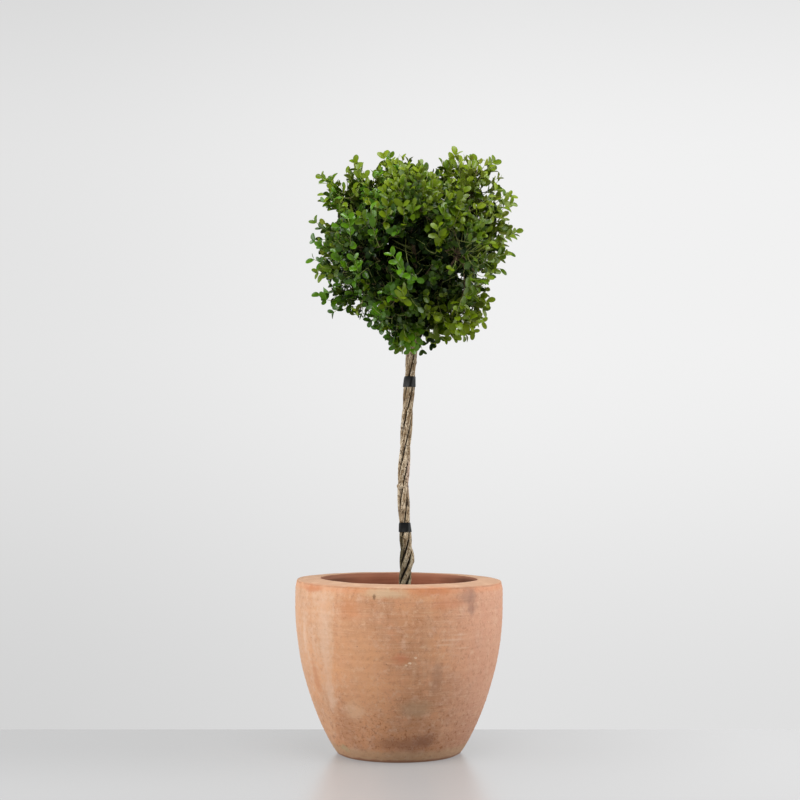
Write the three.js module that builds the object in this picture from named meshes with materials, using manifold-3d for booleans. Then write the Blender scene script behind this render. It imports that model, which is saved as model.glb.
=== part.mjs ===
// A boxwood topiary tree in a terracotta pot: four plaited stems, bound with tape in two places,
// fork inside a clipped crown that is made of leafy masses.
// Millimetres, +Z up, seen from -Y. The origin is the middle of the pot's flat underside.
import * as THREE from 'three';
import { mergeVertices } from 'three/addons/utils/BufferGeometryUtils.js';
import Module from 'manifold-3d';

const wasm = await Module();
wasm.setup();

const CLEAR = 0.3; // the gap that neighbouring pieces keep
const SEED = 7;
const GOLDEN_ANGLE = Math.PI * (3 - Math.sqrt(5));

// Pot
const POT_HEIGHT = 347; // up to the edge of the mouth
const POT_FOOT_RADIUS = 120;
const POT_FOOT_BEVEL = 3;
const POT_BELLY_RADIUS = 206.6;
const POT_BELLY_HEIGHT = 288;
const POT_SWELL = 0.8; // below 1, the wall swells fastest just above the foot
const POT_WALL = 28;
const POT_FLOOR = 36;
const POT_SHOULDER_HEIGHT = 327; // the wall leans in above
const MOUTH_RADIUS = 156;
const LIP_DEPTH = 31; // the lip is thicker than the wall, down to this depth
const LIP_UNDERCUT = 26; // height of the slope from the lip back to the wall
const RIM_NARROWER = 2.5; // than the belly
const RIM_OUTER_ROUND = 5;
const RIM_INNER_ROUND = 3;
const RIM_FALL = 2.6; // the rim's broad top falls from the mouth to its outer edge
const POT_SIDES = 32; // the soil has as many, so that the two stay parallel
const POT_RINGS = 8;
const POT_ROUND_STEPS = 3;

// Soil
const SOIL_TOP = 294;
const SOIL_FLAT_RADIUS = 45; // level round the stems, then falling to the wall
const SOIL_FALL = 3;

// Plaited stems
const STEM_COUNT = 4;
const STEM_RADIUS_FOOT = 5.0;
const STEM_RADIUS_TOP = 4.4;
const STEM_RADIUS_TIP = 3.4;
const ROOT_FLARE = 2.2;
const ROOT_FLARE_HEIGHT = 22;
const PLAIT_TOP = 794; // the stems part here, at the foot of the crown
const PLAIT_STEPS = 28;
const PLAIT_STEP_POWER = 1.35; // steps are shorter where the plait is tight
const LEADER_STEPS = 4;
const STEM_SIDES = 6;
// How far the plait's axis leans to +X at a few heights: a slow S.
const PLAIT_LEAN = [[294, 9], [392, 14], [522, 8.5], [652, 15.5], [794, 25]];
const TWIST_FRONT_HEIGHT = 572; // the first stem faces the front at this height
const TWIST_PER_MM = THREE.MathUtils.degToRad(1.2);
const TWIST_TIGHTER = THREE.MathUtils.degToRad(0.058); // the plait is tighter below the lower tape
const TWIST_TIGHTER_POWER = 1.58;
const BOWED_STEM = 0; // this stem bows out of the plait above the pot
const BOW_HEIGHT = 392;
const BOW_SPREAD = 24;
const BOW = 4.5;

// Tape
const TAPE_THICKNESS = 1.2;
const TAPE_SIDES = 20;
const TAPE_STEPS = 2;
const TAPES = [
  { name: 'tape_lower', foot: 438, height: 20 },
  { name: 'tape_upper', foot: 727, height: 23 },
];

// Crown
const CROWN_CENTRE = new THREE.Vector3(28, 0, 1004);
const LOBE_RADIUS = 100;
const LEAF_BEYOND = 27; // how far the topmost leaves stand out past their shoot's tip
const BOUGH_RADIUS_FOOT = 3.3;
const BOUGH_RADIUS_TIP = 2.3;
const BOUGH_SIDES = 5;
const BOUGH_FLATS = 0.9; // a five-sided end reaches a little less far than a round one
const BOUGH_STEPS = 3;
const BOUGH_RISE = 0.10; // a bough arches up by this share of its length
const CORE_RADIUS = 56;
const CORE_LUMPS = 0.08;
const CORE_MARGIN = 3; // a core stays this far inside its mass's own space
const CORE_OFF_LIMBS = 2.2; // and is cut this far clear of the limbs
const BOUGH_SHORT = 10; // a bough's tip stays this far out of the core
const MASS_STEM_RADIUS = 2.6;
const SHOOTS = 7;
const SHOOT_CAP = THREE.MathUtils.degToRad(84); // shoots fan out this far from the lobe's own direction
const SHOOT_RADIUS_FOOT = 2.6;
const SHOOT_RADIUS_TIP = 1.8;
const SHOOT_LENGTH_SPREAD = 0.10;
const LEAF_LENGTH = 36;
const LEAF_WIDTH = 23;
const LEAF_KEEL = 2.4; // thickness along the midrib, falling to nothing at the edges
const LEAF_SINK = 1.0; // how deep a leaf's root lies past its twig's axis
// Pairs of leaves sit below the shoot's tip, and each opens away from the shoot.
const LEAF_PAIRS = [
  { below: 10, opening: THREE.MathUtils.degToRad(80) },
  { below: 2, opening: THREE.MathUtils.degToRad(40) },
];
const LEAF_SPACING = 12; // between the middles of any two leaves of a mass
const LEAF_OFF_LIMBS = 1.5;
const BETWEEN_SHARES = [0.2, 0.4, 0.6, 0.8];
const CELL_MARGIN = 0.4; // a mass keeps this far inside its own space

// Each lobe points out of the crown's centre: turn is the angle in plan from +X, rise the angle above
// level, reach the distance to its furthest tips. A stem carries it: as its leader, by a bough that
// leaves the stem at a height, or directly.
const LOBES = [
  { name: 'top_left', turn: 180, rise: 39, reach: 240, stem: 0, leader: true },
  { name: 'front_upper', turn: -90, rise: 34, reach: 220, stem: 1, leader: true },
  { name: 'top_right', turn: 0, rise: 46, reach: 250, stem: 2, leader: true },
  { name: 'back_upper', turn: 90, rise: 36, reach: 222, stem: 3, leader: true },
  { name: 'top', turn: 180, rise: 80, reach: 205, stem: 3, from: 894 },
  { name: 'left', turn: 188, rise: 0, reach: 216, stem: 0, from: 862 },
  { name: 'lower_left', turn: 180, rise: -37, reach: 214, stem: 0, from: 820 },
  { name: 'right', turn: 8, rise: 13, reach: 220, stem: 2, from: 862 },
  { name: 'lower_right', turn: 0, rise: -52, reach: 221, stem: 2, from: 816 },
  { name: 'front_left', turn: -136, rise: -5, reach: 222, stem: 1, from: 860 },
  { name: 'front_right', turn: -44, rise: -8, reach: 222, stem: 1, from: 846 },
  { name: 'front_lower', turn: -116, rise: -56, reach: 217, stem: 1, from: 830 },
  { name: 'back_left', turn: 128, rise: -6, reach: 222, stem: 3, from: 860 },
  { name: 'back_right', turn: 68, rise: -4, reach: 222, stem: 3, from: 840 },
  { name: 'back_lower', turn: 66, rise: -56, reach: 219, stem: 3, from: 816 },
  {
    name: 'foot_tuft', turn: -126, rise: -80, reach: 224, stem: 1, from: 806, direct: true,
    radius: 52, coreRadius: 13, shoots: 4,
  },
];

function material(color, roughness) {
  return new THREE.MeshStandardMaterial({ color, roughness, metalness: 0 });
}

const TERRACOTTA = material(0xc08a66, 0.85);
const POTTING_SOIL = material(0x3a2a20, 0.95);
const BARK = material(0x96866c, 0.85);
const TAPE = material(0x26262a, 0.55);
const LEAVES = material(0x4a5f1c, 0.5);

// A small generator of repeatable random numbers from 0 to 1.
function seededRandom(seed) {
  let state = seed >>> 0;
  return () => {
    state = (state + 0x6d2b79f5) >>> 0;
    let mixed = Math.imul(state ^ (state >>> 15), state | 1);
    mixed = (mixed + Math.imul(mixed ^ (mixed >>> 7), mixed | 61)) ^ mixed;
    return ((mixed ^ (mixed >>> 14)) >>> 0) / 4294967296;
  };
}

// Closed meshes as solids, and back

function bareOf(geometry) {
  const bare = new THREE.BufferGeometry().setAttribute('position', geometry.getAttribute('position'));
  if (geometry.index) bare.setIndex(geometry.index);
  return bare;
}

function solidOf(geometry) {
  const merged = mergeVertices(bareOf(geometry), 1e-4);
  return new wasm.Manifold(new wasm.Mesh({
    numProp: 3,
    vertProperties: new Float32Array(merged.getAttribute('position').array),
    triVerts: new Uint32Array(merged.index.array),
  }));
}

// The union's outer skin: loose scraps and sealed hollows are left behind.
function fuse(solids) {
  const bodies = wasm.Manifold.union(solids).decompose();
  const largest = bodies.reduce((best, body) => (body.volume() > best.volume() ? body : best));
  const mesh = largest.getMesh();
  return new THREE.BufferGeometry()
    .setAttribute('position', new THREE.BufferAttribute(new Float32Array(mesh.vertProperties), 3))
    .setIndex(new THREE.BufferAttribute(new Uint32Array(mesh.triVerts), 1));
}

// Pot and soil, both turned about Z

function turned(profile, sides) {
  return new THREE.LatheGeometry(profile, sides).rotateX(Math.PI / 2);
}

function potRadius(height) {
  const share = Math.min(height / POT_BELLY_HEIGHT, 1);
  const swell = Math.sin((share * Math.PI) / 2) ** POT_SWELL;
  return POT_FOOT_RADIUS + (POT_BELLY_RADIUS - POT_FOOT_RADIUS) * swell;
}

// The inside of the pot from the undercut lip down to its floor.
function potInside(inset) {
  const lipFoot = POT_HEIGHT - LIP_DEPTH;
  const wallTop = lipFoot - LIP_UNDERCUT;
  const points = [new THREE.Vector2(MOUTH_RADIUS - inset, lipFoot)];
  for (let i = 0; i <= POT_RINGS; i++) {
    const height = THREE.MathUtils.lerp(wallTop, POT_FLOOR + inset, i / POT_RINGS);
    points.push(new THREE.Vector2(potRadius(height) - POT_WALL - inset, height));
  }
  return points;
}

function potProfile() {
  const rimOuter = POT_BELLY_RADIUS - RIM_NARROWER;
  const rimOuterHeight = POT_HEIGHT - RIM_FALL;
  const outline = new THREE.Path();
  outline.moveTo(0, 0);
  outline.lineTo(POT_FOOT_RADIUS - POT_FOOT_BEVEL, 0);
  for (let i = 0; i <= POT_RINGS; i++) {
    const height = THREE.MathUtils.lerp(POT_FOOT_BEVEL, POT_BELLY_HEIGHT, (i / POT_RINGS) ** 1.4);
    outline.lineTo(potRadius(height), height);
  }
  outline.lineTo(POT_BELLY_RADIUS, POT_SHOULDER_HEIGHT);
  outline.lineTo(rimOuter, rimOuterHeight - RIM_OUTER_ROUND);
  outline.quadraticCurveTo(rimOuter, rimOuterHeight, rimOuter - RIM_OUTER_ROUND, rimOuterHeight);
  outline.lineTo(MOUTH_RADIUS + RIM_INNER_ROUND, POT_HEIGHT);
  outline.quadraticCurveTo(MOUTH_RADIUS, POT_HEIGHT, MOUTH_RADIUS, POT_HEIGHT - RIM_INNER_ROUND);
  for (const point of potInside(0)) outline.lineTo(point.x, point.y);
  outline.lineTo(0, POT_FLOOR);
  return outline.getPoints(POT_ROUND_STEPS);
}

function soilProfile() {
  const inside = potInside(CLEAR * 2).filter((point) => point.y < SOIL_TOP - SOIL_FALL).reverse();
  return [
    new THREE.Vector2(0, POT_FLOOR + CLEAR),
    new THREE.Vector2(inside[0].x, POT_FLOOR + CLEAR),
    ...inside.slice(1),
    new THREE.Vector2(SOIL_FLAT_RADIUS, SOIL_TOP),
    new THREE.Vector2(0, SOIL_TOP),
  ];
}

// A tapering limb through sections, each with a centre, a direction and a radius, closed at both ends.
function limb(sections, sides) {
  const steps = sections.length - 1;
  const geometry = new THREE.CylinderGeometry(1, 1, 1, sides, steps);
  const position = geometry.getAttribute('position');
  const point = new THREE.Vector3();
  for (let i = 0; i < position.count; i++) {
    const { centre, along, radius } = sections[Math.round((position.getY(i) + 0.5) * steps)];
    const across = new THREE.Vector3(1, 0.01, 0).projectOnPlane(along).normalize();
    const depth = across.clone().cross(along);
    point.copy(centre)
      .addScaledVector(across, position.getX(i) * radius)
      .addScaledVector(depth, position.getZ(i) * radius);
    position.setXYZ(i, point.x, point.y, point.z);
  }
  return geometry;
}

// Stems

const leanCurve = new THREE.CatmullRomCurve3(
  PLAIT_LEAN.map(([height, lean]) => new THREE.Vector3(lean, 0, height)),
);

// The plait's axis at a height, found by halving.
function plaitAxis(height) {
  let low = 0;
  let high = 1;
  for (let i = 0; i < 24; i++) {
    const middle = (low + high) / 2;
    if (leanCurve.getPoint(middle).z < height) low = middle;
    else high = middle;
  }
  return leanCurve.getPoint(low).setZ(height);
}

function twistAt(height) {
  const tighter = Math.max(0, TAPES[0].foot + TAPES[0].height / 2 - height) ** TWIST_TIGHTER_POWER;
  return TWIST_PER_MM * (height - TWIST_FRONT_HEIGHT) - TWIST_TIGHTER * tighter;
}

function stemRadius(height) {
  const share = (height - SOIL_TOP) / (PLAIT_TOP - SOIL_TOP);
  const flare = ROOT_FLARE * Math.max(0, 1 - (height - SOIL_TOP) / ROOT_FLARE_HEIGHT) ** 2;
  return THREE.MathUtils.lerp(STEM_RADIUS_FOOT, STEM_RADIUS_TOP, share) + flare;
}

// The place of one stem's centre in the plait: the stems stand round the axis, side by side.
function plaitCentre(index, height) {
  const angle = -Math.PI / 2 + (index * 2 * Math.PI) / STEM_COUNT + twistAt(height);
  const bow = index === BOWED_STEM ? BOW * Math.exp(-(((height - BOW_HEIGHT) / BOW_SPREAD) ** 2)) : 0;
  const ring = (stemRadius(height) + CLEAR) / Math.sin(Math.PI / STEM_COUNT) + bow;
  return plaitAxis(height).add(new THREE.Vector3(Math.cos(angle) * ring, Math.sin(angle) * ring, 0));
}

function lobeDirection(lobe) {
  const turn = THREE.MathUtils.degToRad(lobe.turn);
  const rise = THREE.MathUtils.degToRad(lobe.rise);
  return new THREE.Vector3(
    Math.cos(rise) * Math.cos(turn),
    Math.cos(rise) * Math.sin(turn),
    Math.sin(rise),
  );
}

for (const lobe of LOBES) {
  lobe.radius ??= LOBE_RADIUS;
  lobe.shoots ??= SHOOTS;
  lobe.direction = lobeDirection(lobe);
  lobe.seed = CROWN_CENTRE.clone().addScaledVector(lobe.direction, lobe.reach - lobe.radius);
}
for (const lobe of LOBES) {
  lobe.coreRadius ??= CORE_RADIUS;
  // The mass's own space is bounded by the planes half way to the other seeds.
  lobe.bounds = LOBES.filter((other) => other !== lobe).map((other) => {
    const towards = other.seed.clone().sub(lobe.seed);
    const half = towards.length() / 2;
    return { normal: towards.normalize(), half };
  });
}

// How far a mass's own space reaches from its seed in one direction.
function roomAlong(lobe, direction, margin) {
  return Math.min(...lobe.bounds.map(({ normal, half }) => {
    const lean = normal.dot(direction);
    return lean > 1e-6 ? (half - margin) / lean : Infinity;
  }));
}

// Where a limb that comes from a point enters a lobe's mass.
function enterPoint(lobe, from) {
  const back = from.clone().sub(lobe.seed).normalize();
  const distance = Math.min(lobe.coreRadius + BOUGH_SHORT, roomAlong(lobe, back, BOUGH_SHORT));
  return lobe.seed.clone().addScaledVector(back, distance);
}

// A stem's own sections: level rings up the plait, then its leader up to the edge of its lobe.
function stemSections(index) {
  const sections = [];
  for (let i = 0; i <= PLAIT_STEPS; i++) {
    const share = (i / PLAIT_STEPS) ** PLAIT_STEP_POWER;
    const height = THREE.MathUtils.lerp(SOIL_TOP + CLEAR, PLAIT_TOP, share);
    const centre = plaitCentre(index, height);
    sections.push({ centre, along: new THREE.Vector3(0, 0, 1), radius: stemRadius(height) });
  }
  const lobe = LOBES.find((each) => each.stem === index && each.leader);
  const start = sections[PLAIT_STEPS].centre;
  const before = sections[PLAIT_STEPS - 1].centre;
  const climb = start.clone().sub(before).normalize();
  const tip = enterPoint(lobe, start);
  const bend = start.clone().addScaledVector(climb, start.distanceTo(tip) * 0.45);
  const leader = new THREE.QuadraticBezierCurve3(start, bend, tip);
  for (let i = 1; i <= LEADER_STEPS; i++) {
    const share = i / LEADER_STEPS;
    const radius = THREE.MathUtils.lerp(STEM_RADIUS_TOP, STEM_RADIUS_TIP, share);
    sections.push({ centre: leader.getPoint(share), along: leader.getTangent(share), radius });
  }
  return sections;
}

const stems = Array.from({ length: STEM_COUNT }, (_, index) => stemSections(index));

// The point of a stem at a height, with its direction and radius there.
function onStem(index, height) {
  const sections = stems[index];
  const above = sections.findIndex((section) => section.centre.z >= height);
  const [low, high] = [sections[above - 1], sections[above]];
  const share = (height - low.centre.z) / (high.centre.z - low.centre.z);
  return {
    centre: low.centre.clone().lerp(high.centre, share),
    along: high.centre.clone().sub(low.centre).normalize(),
    radius: THREE.MathUtils.lerp(low.radius, high.radius, share),
  };
}

// Tape: a ring that hugs the four stems at every height that it covers.
function tape({ foot, height }) {
  const levels = Array.from({ length: TAPE_STEPS + 1 }, (_, i) => foot + (height * i) / TAPE_STEPS);
  const outside = levels.map((level) => new THREE.Vector2(2, level));
  const inside = levels.map((level) => new THREE.Vector2(1, level)).reverse();
  const profile = [...outside, ...inside, outside[0].clone()];
  const geometry = turned(profile, TAPE_SIDES);
  const position = geometry.getAttribute('position');
  for (let i = 0; i < position.count; i++) {
    const outward = new THREE.Vector3(position.getX(i), position.getY(i), 0);
    const offset = outward.length() > 1.5 ? CLEAR + TAPE_THICKNESS : CLEAR;
    outward.normalize();
    const level = position.getZ(i);
    const centres = stems.map((_, index) => plaitCentre(index, level));
    centres.sort((one, other) => other.dot(outward) - one.dot(outward));
    const point = centres[0].addScaledVector(outward, stemRadius(level) + offset);
    position.setXYZ(i, point.x, point.y, level);
  }
  return geometry;
}

// Boughs: each leaves its stem's side and ends where it enters its mass.
function boughSections(lobe) {
  const foot = onStem(lobe.stem, lobe.from);
  const aim = lobe.seed.clone().sub(foot.centre).normalize();
  const slope = foot.along.dot(aim);
  const steep = Math.sqrt(1 - slope * slope);
  const lowEdge = BOUGH_RADIUS_FOOT * BOUGH_FLATS * Math.abs(slope);
  const offset = (foot.radius + lowEdge) / steep;
  const start = foot.centre.clone().addScaledVector(aim, offset);
  const tip = enterPoint(lobe, start);
  const length = start.distanceTo(tip);
  return Array.from({ length: BOUGH_STEPS + 1 }, (_, i) => {
    const share = i / BOUGH_STEPS;
    const centre = start.clone().lerp(tip, share);
    centre.z += BOUGH_RISE * length * Math.sin(share * Math.PI) ** 2;
    const radius = THREE.MathUtils.lerp(BOUGH_RADIUS_FOOT, BOUGH_RADIUS_TIP, share);
    return { centre, along: aim, radius };
  });
}

const boughs = new Map(
  LOBES.filter((lobe) => !lobe.leader && !lobe.direct).map((lobe) => [lobe, boughSections(lobe)]),
);
const limbs = [...stems, ...boughs.values()];

// How far a point is from the skin of the nearest limb.
function clearOfLimbs(point) {
  let least = Infinity;
  for (const sections of limbs) {
    for (let i = 1; i < sections.length; i++) {
      const line = new THREE.Line3(sections[i - 1].centre, sections[i].centre);
      const nearest = line.closestPointToPoint(point, true, new THREE.Vector3());
      const radius = Math.max(sections[i - 1].radius, sections[i].radius);
      least = Math.min(least, nearest.distanceTo(point) - radius);
    }
  }
  return least;
}

// Masses of foliage. Each keeps to the points that lie nearer to its own seed than to any other.
function inOwnSpace(lobe, points) {
  return points.every((point) => {
    const offset = point.clone().sub(lobe.seed);
    return lobe.bounds.every(({ normal, half }) => offset.dot(normal) < half - CELL_MARGIN);
  });
}

// The core is a ball drawn in to its mass's own space and cut clear of the limbs.
function core(lobe, phase) {
  const geometry = new THREE.IcosahedronGeometry(1, 1);
  const position = geometry.getAttribute('position');
  const direction = new THREE.Vector3();
  for (let i = 0; i < position.count; i++) {
    direction.fromBufferAttribute(position, i).normalize();
    const { x, y, z } = direction;
    const waves = Math.sin(5 * x + phase) + Math.sin(6 * y + phase) + Math.sin(5 * z);
    const lumpy = lobe.coreRadius * (1 + CORE_LUMPS * waves);
    const radius = Math.min(lumpy, roomAlong(lobe, direction, CORE_MARGIN));
    direction.multiplyScalar(radius).add(lobe.seed);
    position.setXYZ(i, direction.x, direction.y, direction.z);
  }
  const fatter = limbs.map((sections) => limb(
    sections.map((section) => ({ ...section, radius: section.radius + CORE_OFF_LIMBS })), BOUGH_SIDES,
  ));
  return fatter.reduce((solid, each) => solid.subtract(solidOf(each)), solidOf(geometry));
}

function placed(geometry, origin, along, across) {
  const normal = along.clone().cross(across).normalize();
  const flat = normal.clone().cross(along);
  const basis = new THREE.Matrix4().makeBasis(along, flat, normal).setPosition(origin);
  return geometry.applyMatrix4(basis);
}

function corners(geometry) {
  const position = mergeVertices(bareOf(geometry), 1e-3).getAttribute('position');
  const point = (i) => new THREE.Vector3().fromBufferAttribute(position, i);
  return Array.from({ length: position.count }, (_, i) => point(i));
}

function middleOf(geometry) {
  geometry.computeBoundingBox();
  return geometry.boundingBox.getCenter(new THREE.Vector3());
}

// Points all through a small convex piece: its corners and places between every two of them.
function samples(piece) {
  const points = corners(piece);
  const between = points.flatMap((point, i) => points.slice(i + 1)
    .filter((other) => other.distanceTo(point) > LEAF_WIDTH / 2)
    .flatMap((other) => BETWEEN_SHARES.map((share) => point.clone().lerp(other, share))));
  return [...points, ...between];
}

function keepsClear(lobe, piece) {
  if (!inOwnSpace(lobe, corners(piece))) return false;
  return samples(piece).every((point) => clearOfLimbs(point) > LEAF_OFF_LIMBS);
}

// A leaf is flat above and keeled below, and its root is sunk in the twig.
function leaf(root, along, across) {
  const blade = new THREE.ConeGeometry(0.5, 1, 4).rotateX(-Math.PI / 2).translate(0, 0, -0.5);
  blade.scale(LEAF_LENGTH, LEAF_WIDTH, LEAF_KEEL);
  blade.translate(LEAF_LENGTH / 2 - LEAF_SINK, 0, 0);
  return placed(blade, root, along, across);
}

function twig(start, end, radiusFoot, radiusTip) {
  const along = end.clone().sub(start).normalize();
  return limb([
    { centre: start, along, radius: radiusFoot },
    { centre: end, along, radius: radiusTip },
  ], 3);
}

// A shoot and its leaves: opposite pairs, each pair turned a quarter from the last.
function shootPieces(start, end, spin) {
  const along = end.clone().sub(start).normalize();
  const side = new THREE.Vector3(0.3, 0.2, 1).cross(along).normalize().applyAxisAngle(along, spin);
  const pieces = [twig(start, end, SHOOT_RADIUS_FOOT, SHOOT_RADIUS_TIP)];
  LEAF_PAIRS.forEach(({ below, opening }, pair) => {
    const root = end.clone().addScaledVector(along, -below);
    const outward = side.clone().applyAxisAngle(along, (pair * Math.PI) / 2);
    for (const way of [1, -1]) {
      const direction = along.clone().multiplyScalar(Math.cos(opening))
        .addScaledVector(outward, way * Math.sin(opening));
      pieces.push(leaf(root, direction, along.clone().cross(outward).multiplyScalar(way)));
    }
  });
  return pieces;
}

// Directions spread evenly, by the golden angle, over a cap round the lobe's own direction.
function shootDirection(lobe, index, random) {
  const spread = 1 - (index / (lobe.shoots - 1)) * (1 - Math.cos(SHOOT_CAP));
  const around = index * GOLDEN_ANGLE + random() * 0.7;
  const lean = Math.sqrt(1 - spread * spread);
  const across = new THREE.Vector3(0, 0, 1).cross(lobe.direction).normalize();
  const up = lobe.direction.clone().cross(across);
  return lobe.direction.clone().multiplyScalar(spread)
    .addScaledVector(across, lean * Math.cos(around))
    .addScaledVector(up, lean * Math.sin(around));
}

// The first section of a mass's own stem, a hair's breadth off the limb that carries it.
function massStart(lobe) {
  if (lobe.direct) {
    const foot = onStem(lobe.stem, lobe.from);
    const aim = lobe.seed.clone().sub(foot.centre).projectOnPlane(foot.along).normalize();
    const centre = foot.centre.addScaledVector(aim, foot.radius + 2 * CLEAR);
    return { centre, along: aim, radius: MASS_STEM_RADIUS };
  }
  const sections = lobe.leader ? stems[lobe.stem] : boughs.get(lobe);
  const { centre, along } = sections[sections.length - 1];
  return { centre: centre.clone().addScaledVector(along, CLEAR), along, radius: MASS_STEM_RADIUS };
}

function mass(lobe, random) {
  const start = massStart(lobe);
  const pieces = [limb([start, { ...start, centre: lobe.seed }], 3)];
  const leafMiddles = [];
  for (let i = 0; i < lobe.shoots; i++) {
    const direction = shootDirection(lobe, i, random);
    const longest = (lobe.radius - LEAF_BEYOND) * (i === 0 ? 1 : 1 - SHOOT_LENGTH_SPREAD * random());
    const length = Math.min(longest, roomAlong(lobe, direction, LEAF_WIDTH / 2));
    const tip = lobe.seed.clone().addScaledVector(direction, length);
    const [stalk, ...leaves] = shootPieces(lobe.seed, tip, random() * Math.PI);
    if (!keepsClear(lobe, stalk)) continue;
    pieces.push(stalk);
    for (const blade of leaves) {
      const middle = middleOf(blade);
      const crowded = leafMiddles.some((other) => other.distanceTo(middle) < LEAF_SPACING);
      if (crowded || !keepsClear(lobe, blade)) continue;
      leafMiddles.push(middle);
      pieces.push(blade);
    }
  }
  return fuse([core(lobe, random() * 2 * Math.PI), ...pieces.map(solidOf)]);
}

// The assembly

const tree = new THREE.Group();

function add(name, geometry, look) {
  const mesh = new THREE.Mesh(geometry, look);
  mesh.name = name;
  tree.add(mesh);
}

add('pot', turned(potProfile(), POT_SIDES), TERRACOTTA);
add('soil', turned(soilProfile(), POT_SIDES), POTTING_SOIL);
stems.forEach((sections, index) => add(`stem_${index + 1}`, limb(sections, STEM_SIDES), BARK));
for (const each of TAPES) add(each.name, tape(each), TAPE);
for (const [lobe, sections] of boughs) add(`bough_${lobe.name}`, limb(sections, BOUGH_SIDES), BARK);
const random = seededRandom(SEED);
for (const lobe of LOBES) add(`foliage_${lobe.name}`, mass(lobe, random), LEAVES);

export default tree;
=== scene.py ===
# %% [markdown]
# # A potted boxwood tree
# A boxwood grown as a small standard: four plaited stems carry a clipped head of leaves, in a
# wide terracotta pot. The measured solids of the tree come in first, as a fixed frame. Each
# piece that is modelled here lies over its solid, in metres, and takes its place.

# %% Load the frame
import math
import random
from dataclasses import dataclass

import bpy
import numpy as np
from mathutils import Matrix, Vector


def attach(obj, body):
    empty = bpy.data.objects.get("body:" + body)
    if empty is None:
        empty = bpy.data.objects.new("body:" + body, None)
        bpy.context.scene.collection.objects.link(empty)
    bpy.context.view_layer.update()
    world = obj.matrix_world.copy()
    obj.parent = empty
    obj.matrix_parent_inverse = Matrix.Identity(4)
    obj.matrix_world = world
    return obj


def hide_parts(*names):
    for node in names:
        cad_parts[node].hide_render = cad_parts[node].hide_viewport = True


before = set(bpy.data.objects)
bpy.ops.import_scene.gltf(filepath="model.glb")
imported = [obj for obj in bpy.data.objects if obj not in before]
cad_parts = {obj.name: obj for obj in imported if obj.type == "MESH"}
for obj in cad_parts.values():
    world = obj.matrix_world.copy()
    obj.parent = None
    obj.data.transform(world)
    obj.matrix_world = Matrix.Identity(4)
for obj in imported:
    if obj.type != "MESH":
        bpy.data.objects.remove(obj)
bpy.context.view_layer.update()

# %% [markdown]
# ## Camera
# The tree is looked at from the front, level with the middle of the bare stem. A long lens from
# far away keeps the pot's rim a thin ellipse and the two sides of the pot almost upright.

# %% Camera
CAMERA_PLACE = (0.002, -3.63, 0.6195)
CAMERA_LENS = 81.7  # millimetres
CAMERA_TILT = math.radians(1.302)  # it looks up a little

bpy.ops.object.select_all(action="DESELECT")
bpy.ops.object.camera_add(location=CAMERA_PLACE, rotation=(math.pi / 2 + CAMERA_TILT, 0, 0))
camera = bpy.context.object
camera.data.lens = CAMERA_LENS
bpy.context.scene.camera = camera
print("camera:", CAMERA_LENS, "mm lens,", -CAMERA_PLACE[1], "m away")

# %% [markdown]
# ## Finishes
# A finish is a small tree of shader nodes. Colours are easiest to note as the six digits of a
# paint program, but shaders add up light, so they need them in linear numbers. A few helpers
# keep the later cells short: one adds a node and fills its inputs, the others are the nodes
# that every finish here uses again and again.

# %% Colours and nodes
def paint(digits):
    channels = [int(digits[i:i + 2], 16) / 255 for i in (0, 2, 4)]
    linear = [c / 12.92 if c <= 0.04045 else ((c + 0.055) / 1.055) ** 2.4 for c in channels]
    return (*linear, 1.0)


def fill(tree, made, inputs):
    """Each input of a node takes a link from another node's socket, or a plain value."""
    for key, value in inputs.items():
        if isinstance(value, bpy.types.NodeSocket):
            tree.links.new(value, made.inputs[key])
        else:
            made.inputs[key].default_value = value


def node(tree, kind, inputs, **settings):
    made = tree.nodes.new("ShaderNode" + kind)
    for name, value in settings.items():
        setattr(made, name, value)
    fill(tree, made, inputs)
    return made


def noise(tree, place, scale, detail=4.0, rough=0.55):
    inputs = {"Vector": place, "Scale": scale, "Detail": detail, "Roughness": rough}
    return node(tree, "TexNoise", inputs).outputs[0]


def stretched(tree, place, scale):
    return node(tree, "Mapping", {"Vector": place, "Scale": scale}).outputs[0]


def sums(tree, operation, first, second):
    return node(tree, "Math", {0: first, 1: second}, operation=operation).outputs[0]


def times(tree, first, second):
    return sums(tree, "MULTIPLY", first, second)


def rising(tree, value, low, high, most=1.0):
    """Nothing at the low end, most at the high end, and a smooth slope between."""
    inputs = {"Value": value, "From Min": low, "From Max": high, "To Max": most}
    return node(tree, "MapRange", inputs, interpolation_type="SMOOTHSTEP").outputs[0]


def mixed(tree, share, below, above):
    made = node(tree, "Mix", {0: share, 6: below, 7: above}, data_type="RGBA")
    return made.outputs[2]


print("colours: the photo studio's grey is", [round(c, 3) for c in paint("e6e6e6")])

# %% [markdown]
# Most colours here are layers: a value, such as a noise, rises from a low to a high end, and the
# layer's colour covers what lies below by that much. A bump lets light and shade follow a height
# without moving the surface. Every finish starts with its nodes, its shader and the coordinates
# of the object that it is on.

# %% Layers and finishes
def layered(tree, colour, layers):
    """Colours laid over the first. A layer is a value, its low and high end, most and a colour."""
    for value, low, high, most, above in layers:
        colour = mixed(tree, rising(tree, value, low, high, most), colour, above)
    return colour


def bump(tree, height, strength, distance):
    inputs = {"Height": height, "Strength": strength, "Distance": distance}
    return node(tree, "Bump", inputs).outputs[0]


def finish(name, roughness, shine=0.5):
    """A new material with its nodes, its shader and the coordinates of the object it is on."""
    material = bpy.data.materials.new(name)
    material.use_nodes = True
    tree = material.node_tree
    shader = tree.nodes["Principled BSDF"]
    fill(tree, shader, {"Roughness": roughness, "Specular IOR Level": shine})
    place = node(tree, "TexCoord", {}).outputs["Object"]
    return material, tree, shader, place


print("finishes: colours in layers, with a bump")

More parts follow.
